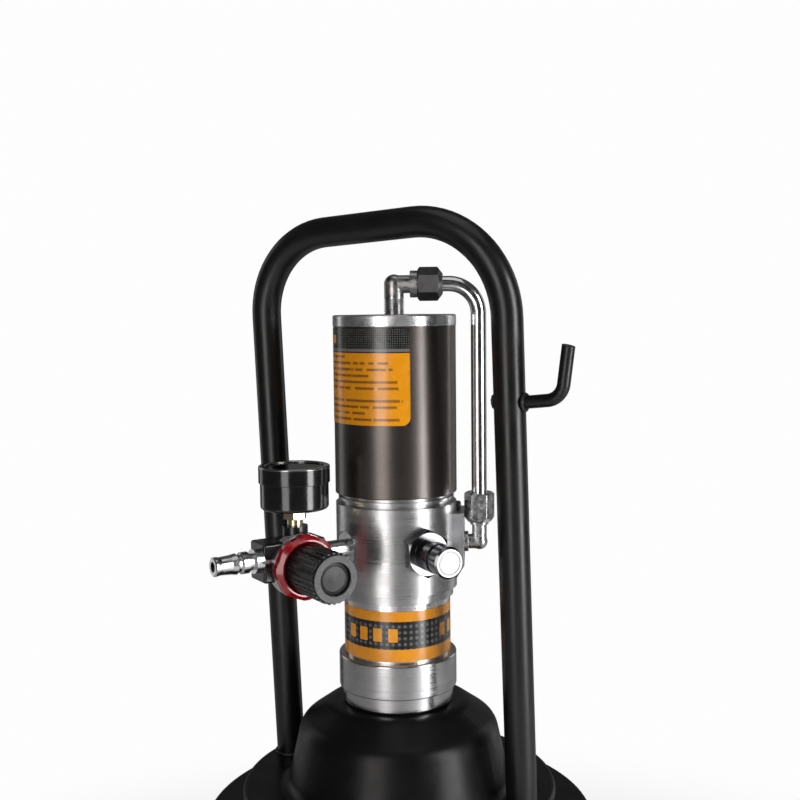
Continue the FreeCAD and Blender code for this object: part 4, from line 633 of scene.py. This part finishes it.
weld = weld_metal("painted_weld")
foot_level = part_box("handle")[0].z
for label, side in (("left", -1), ("right", 1)):
    near = [v.co for v in frame["nodes"]["handle"].data.vertices
            if v.co.z < foot_level + 1 * MM and v.co.x * side > 0]
    foot = sum(near, Vector()) / len(near)
    weld_bead(f"handle_weld_{label}", foot + Vector((0, 0, 0.3 * MM)), UP, 10.2 * MM, 1.4 * MM, 34, side)
root = end_centre("hose_hook", 0, 0, 0.6 * MM)
weld_bead("hook_weld", root + Vector((0.4 * MM, 0, 0)), (1, 0, 0), 4.5 * MM, 1.5 * MM, 16, 0.7)
inner = root - Vector((19.5 * MM, 0, 0))
weld_bead("hook_weld_inner", inner, (1, 0, 0), 3.4 * MM, 1.6 * MM, 11, 2.1)


def dial_number(value, turn):
    """One printed number of the gauge scale."""
    curve = bpy.data.curves.new(f"dial_number_{value}", "FONT")
    curve.body = str(value)
    curve.size = 3.1 * MM
    curve.align_x = "CENTER"
    curve.align_y = "CENTER"
    curve.extrude = 0.02 * MM
    item = bpy.data.objects.new(curve.name, curve)
    bpy.context.scene.collection.objects.link(item)
    centre = Vector(joint("pointer_sweep")["pos_m"])
    centre.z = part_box("gauge_dial")[1].z + 0.04 * MM
    item.location = centre + outward(turn) * 10.4 * MM
    item.rotation_euler = (0, 0, math.radians(KNOB_ANGLE + 90))
    curve.materials.append(LOOKS["gauge_pointer"].material)
    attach(item, "stand")


for step in range(0, 9, 2):
    dial_number(step * 2, KNOB_ANGLE - DIAL_SWEEP / 2 - step * DIAL_SWEEP / 8)


# --- floor, light, camera -----------------------------------------------------------------------------

BACKGROUND = 0.985


def pale_floor():
    """Pale floor that fades into the background with distance."""
    mesh = bpy.data.meshes.new("floor")
    mesh.from_pydata([(-9, -9, 0), (9, -9, 0), (9, 9, 0), (-9, 9, 0)], [], [(0, 1, 2, 3)])
    item = bpy.data.objects.new("floor", mesh)
    bpy.context.scene.collection.objects.link(item)
    look = Look("floor_paper")
    x, y = look.axes()[:2]
    reach = look.vector("LENGTH", look.join(x, y, 0.0), out=1)
    far = look.ramp(reach, 0.25, 0.95, 0.35, 1.0)
    seen = look.add("ShaderNodeLightPath").outputs["Is Camera Ray"]
    glow = look.add("ShaderNodeEmission")
    look.feed(glow.inputs["Color"], (BACKGROUND, BACKGROUND, BACKGROUND))
    both = look.add("ShaderNodeMixShader")
    look.feed(both.inputs[0], look.math("MULTIPLY", far, seen))
    look.tree.links.new(look.shader.outputs[0], both.inputs[1])
    look.tree.links.new(glow.outputs[0], both.inputs[2])
    look.tree.links.new(both.outputs[0], look.output.inputs[0])
    tone = look.mix(look.noise(40, 4.0), (0.84, 0.84, 0.84), (0.88, 0.88, 0.88))
    look.put(Base_Color=tone, Roughness=0.7, Normal=look.bump(look.noise(900, 3.0), 0.02 * MM))
    mesh.materials.append(look.material)


def softbox(name, angle, distance, height, width, tall, radiance, tint=(1, 1, 1)):
    """Tall soft light aimed level at the pump's axis: angle in degrees, its place and size in metres."""
    data = bpy.data.lights.new(name, "AREA")
    data.shape = "RECTANGLE"
    data.size, data.size_y = width, tall
    data.energy = radiance * math.pi * width * tall
    data.color = tint
    item = bpy.data.objects.new(name, data)
    bpy.context.scene.collection.objects.link(item)
    item.location = outward(angle) * distance + Vector((0, 0, height))
    item.rotation_euler = (Vector((0, 0, height)) - item.location).to_track_quat("-Z", "Y").to_euler()
    item.visible_camera = False
    return item


def overhead(name, offset, height, size, radiance):
    """Square soft light above the pump, offset to one side and aimed at its middle."""
    item = softbox(name, 0, 1, height, size, size, radiance)
    item.location = (*offset, height)
    item.rotation_euler = (Vector((0, 0, 0.4)) - item.location).to_track_quat("-Z", "Y").to_euler()


def studio_world():
    """White background for the camera; a dim room with a pale rear half for reflections."""
    world = bpy.data.worlds.new("studio")
    bpy.context.scene.world = world
    world.use_nodes = True
    tree = world.node_tree
    tree.nodes.clear()
    output = tree.nodes.new("ShaderNodeOutputWorld")
    direction = tree.nodes.new("ShaderNodeTexCoord").outputs["Generated"]
    away = tree.nodes.new("ShaderNodeVectorMath")
    away.operation = "DOT_PRODUCT"
    away.inputs[1].default_value = tuple(-outward(CAMERA_ANGLE))
    tree.links.new(direction, away.inputs[0])
    step = tree.nodes.new("ShaderNodeMapRange")
    step.interpolation_type = "SMOOTHSTEP"
    for socket, value in zip(step.inputs[1:5], (0.6, 0.97, 0.055, 0.13)):
        socket.default_value = value
    tree.links.new(away.outputs["Value"], step.inputs[0])
    room = tree.nodes.new("ShaderNodeBackground")
    tree.links.new(step.outputs[0], room.inputs["Strength"])
    plain = tree.nodes.new("ShaderNodeBackground")
    plain.inputs["Strength"].default_value = BACKGROUND
    for shade in (room, plain):
        shade.inputs["Color"].default_value = (1, 1, 1, 1)
    mixed = tree.nodes.new("ShaderNodeMixShader")
    tree.links.new(tree.nodes.new("ShaderNodeLightPath").outputs["Is Camera Ray"], mixed.inputs[0])
    tree.links.new(room.outputs[0], mixed.inputs[1])
    tree.links.new(plain.outputs[0], mixed.inputs[2])
    tree.links.new(mixed.outputs[0], output.inputs[0])


def camera():
    """Camera level with the pump's upper part, turned slightly down, with a little roll."""
    pitch, roll, yaw = 0.0839, -0.0108, 0.0044
    distance, over_tube = 0.71654, 11.65 * MM
    forward = Vector((math.sin(yaw) * math.cos(pitch), math.cos(yaw) * math.cos(pitch), -math.sin(pitch)))
    above = Vector((math.sin(yaw) * math.sin(pitch), math.cos(yaw) * math.sin(pitch), math.cos(pitch)))
    right = Vector((math.cos(yaw), -math.sin(yaw), 0))
    across = right * math.cos(roll) + above * math.sin(roll)
    upward = above * math.cos(roll) - right * math.sin(roll)
    turn = Matrix.Rotation(math.radians(CAMERA_ANGLE - 270), 3, "Z")
    across, upward, forward = turn @ across, turn @ upward, turn @ forward
    data = bpy.data.cameras.new("camera")
    data.sensor_width = 36
    data.lens = 49.62
    data.clip_start, data.clip_end = 0.01, 50
    item = bpy.data.objects.new("camera", data)
    bpy.context.scene.collection.objects.link(item)
    place = outward(CAMERA_ANGLE) * distance + Vector((0, 0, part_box("cylinder_tube")[1].z + over_tube))
    item.matrix_world = Matrix.Translation(place) @ Matrix((across, upward, -forward)).transposed().to_4x4()
    bpy.context.scene.camera = item


pale_floor()
studio_world()
softbox("light_left", CAMERA_ANGLE - 26, 1.6, 0.72, 0.6, 1.7, 3.4, (1.0, 0.96, 0.94))
softbox("light_right", CAMERA_ANGLE + 56, 1.6, 0.72, 0.55, 1.7, 8.5)
softbox("light_rear_left", CAMERA_ANGLE - 125, 1.9, 0.8, 0.6, 1.6, 0.7)
softbox("light_rear_right", CAMERA_ANGLE + 130, 1.9, 0.8, 0.6, 1.6, 0.7)
overhead("light_top", (0.15, -0.25), 2.3, 1.4, 0.7)
camera()
bpy.context.scene.view_settings.view_transform = "Standard"
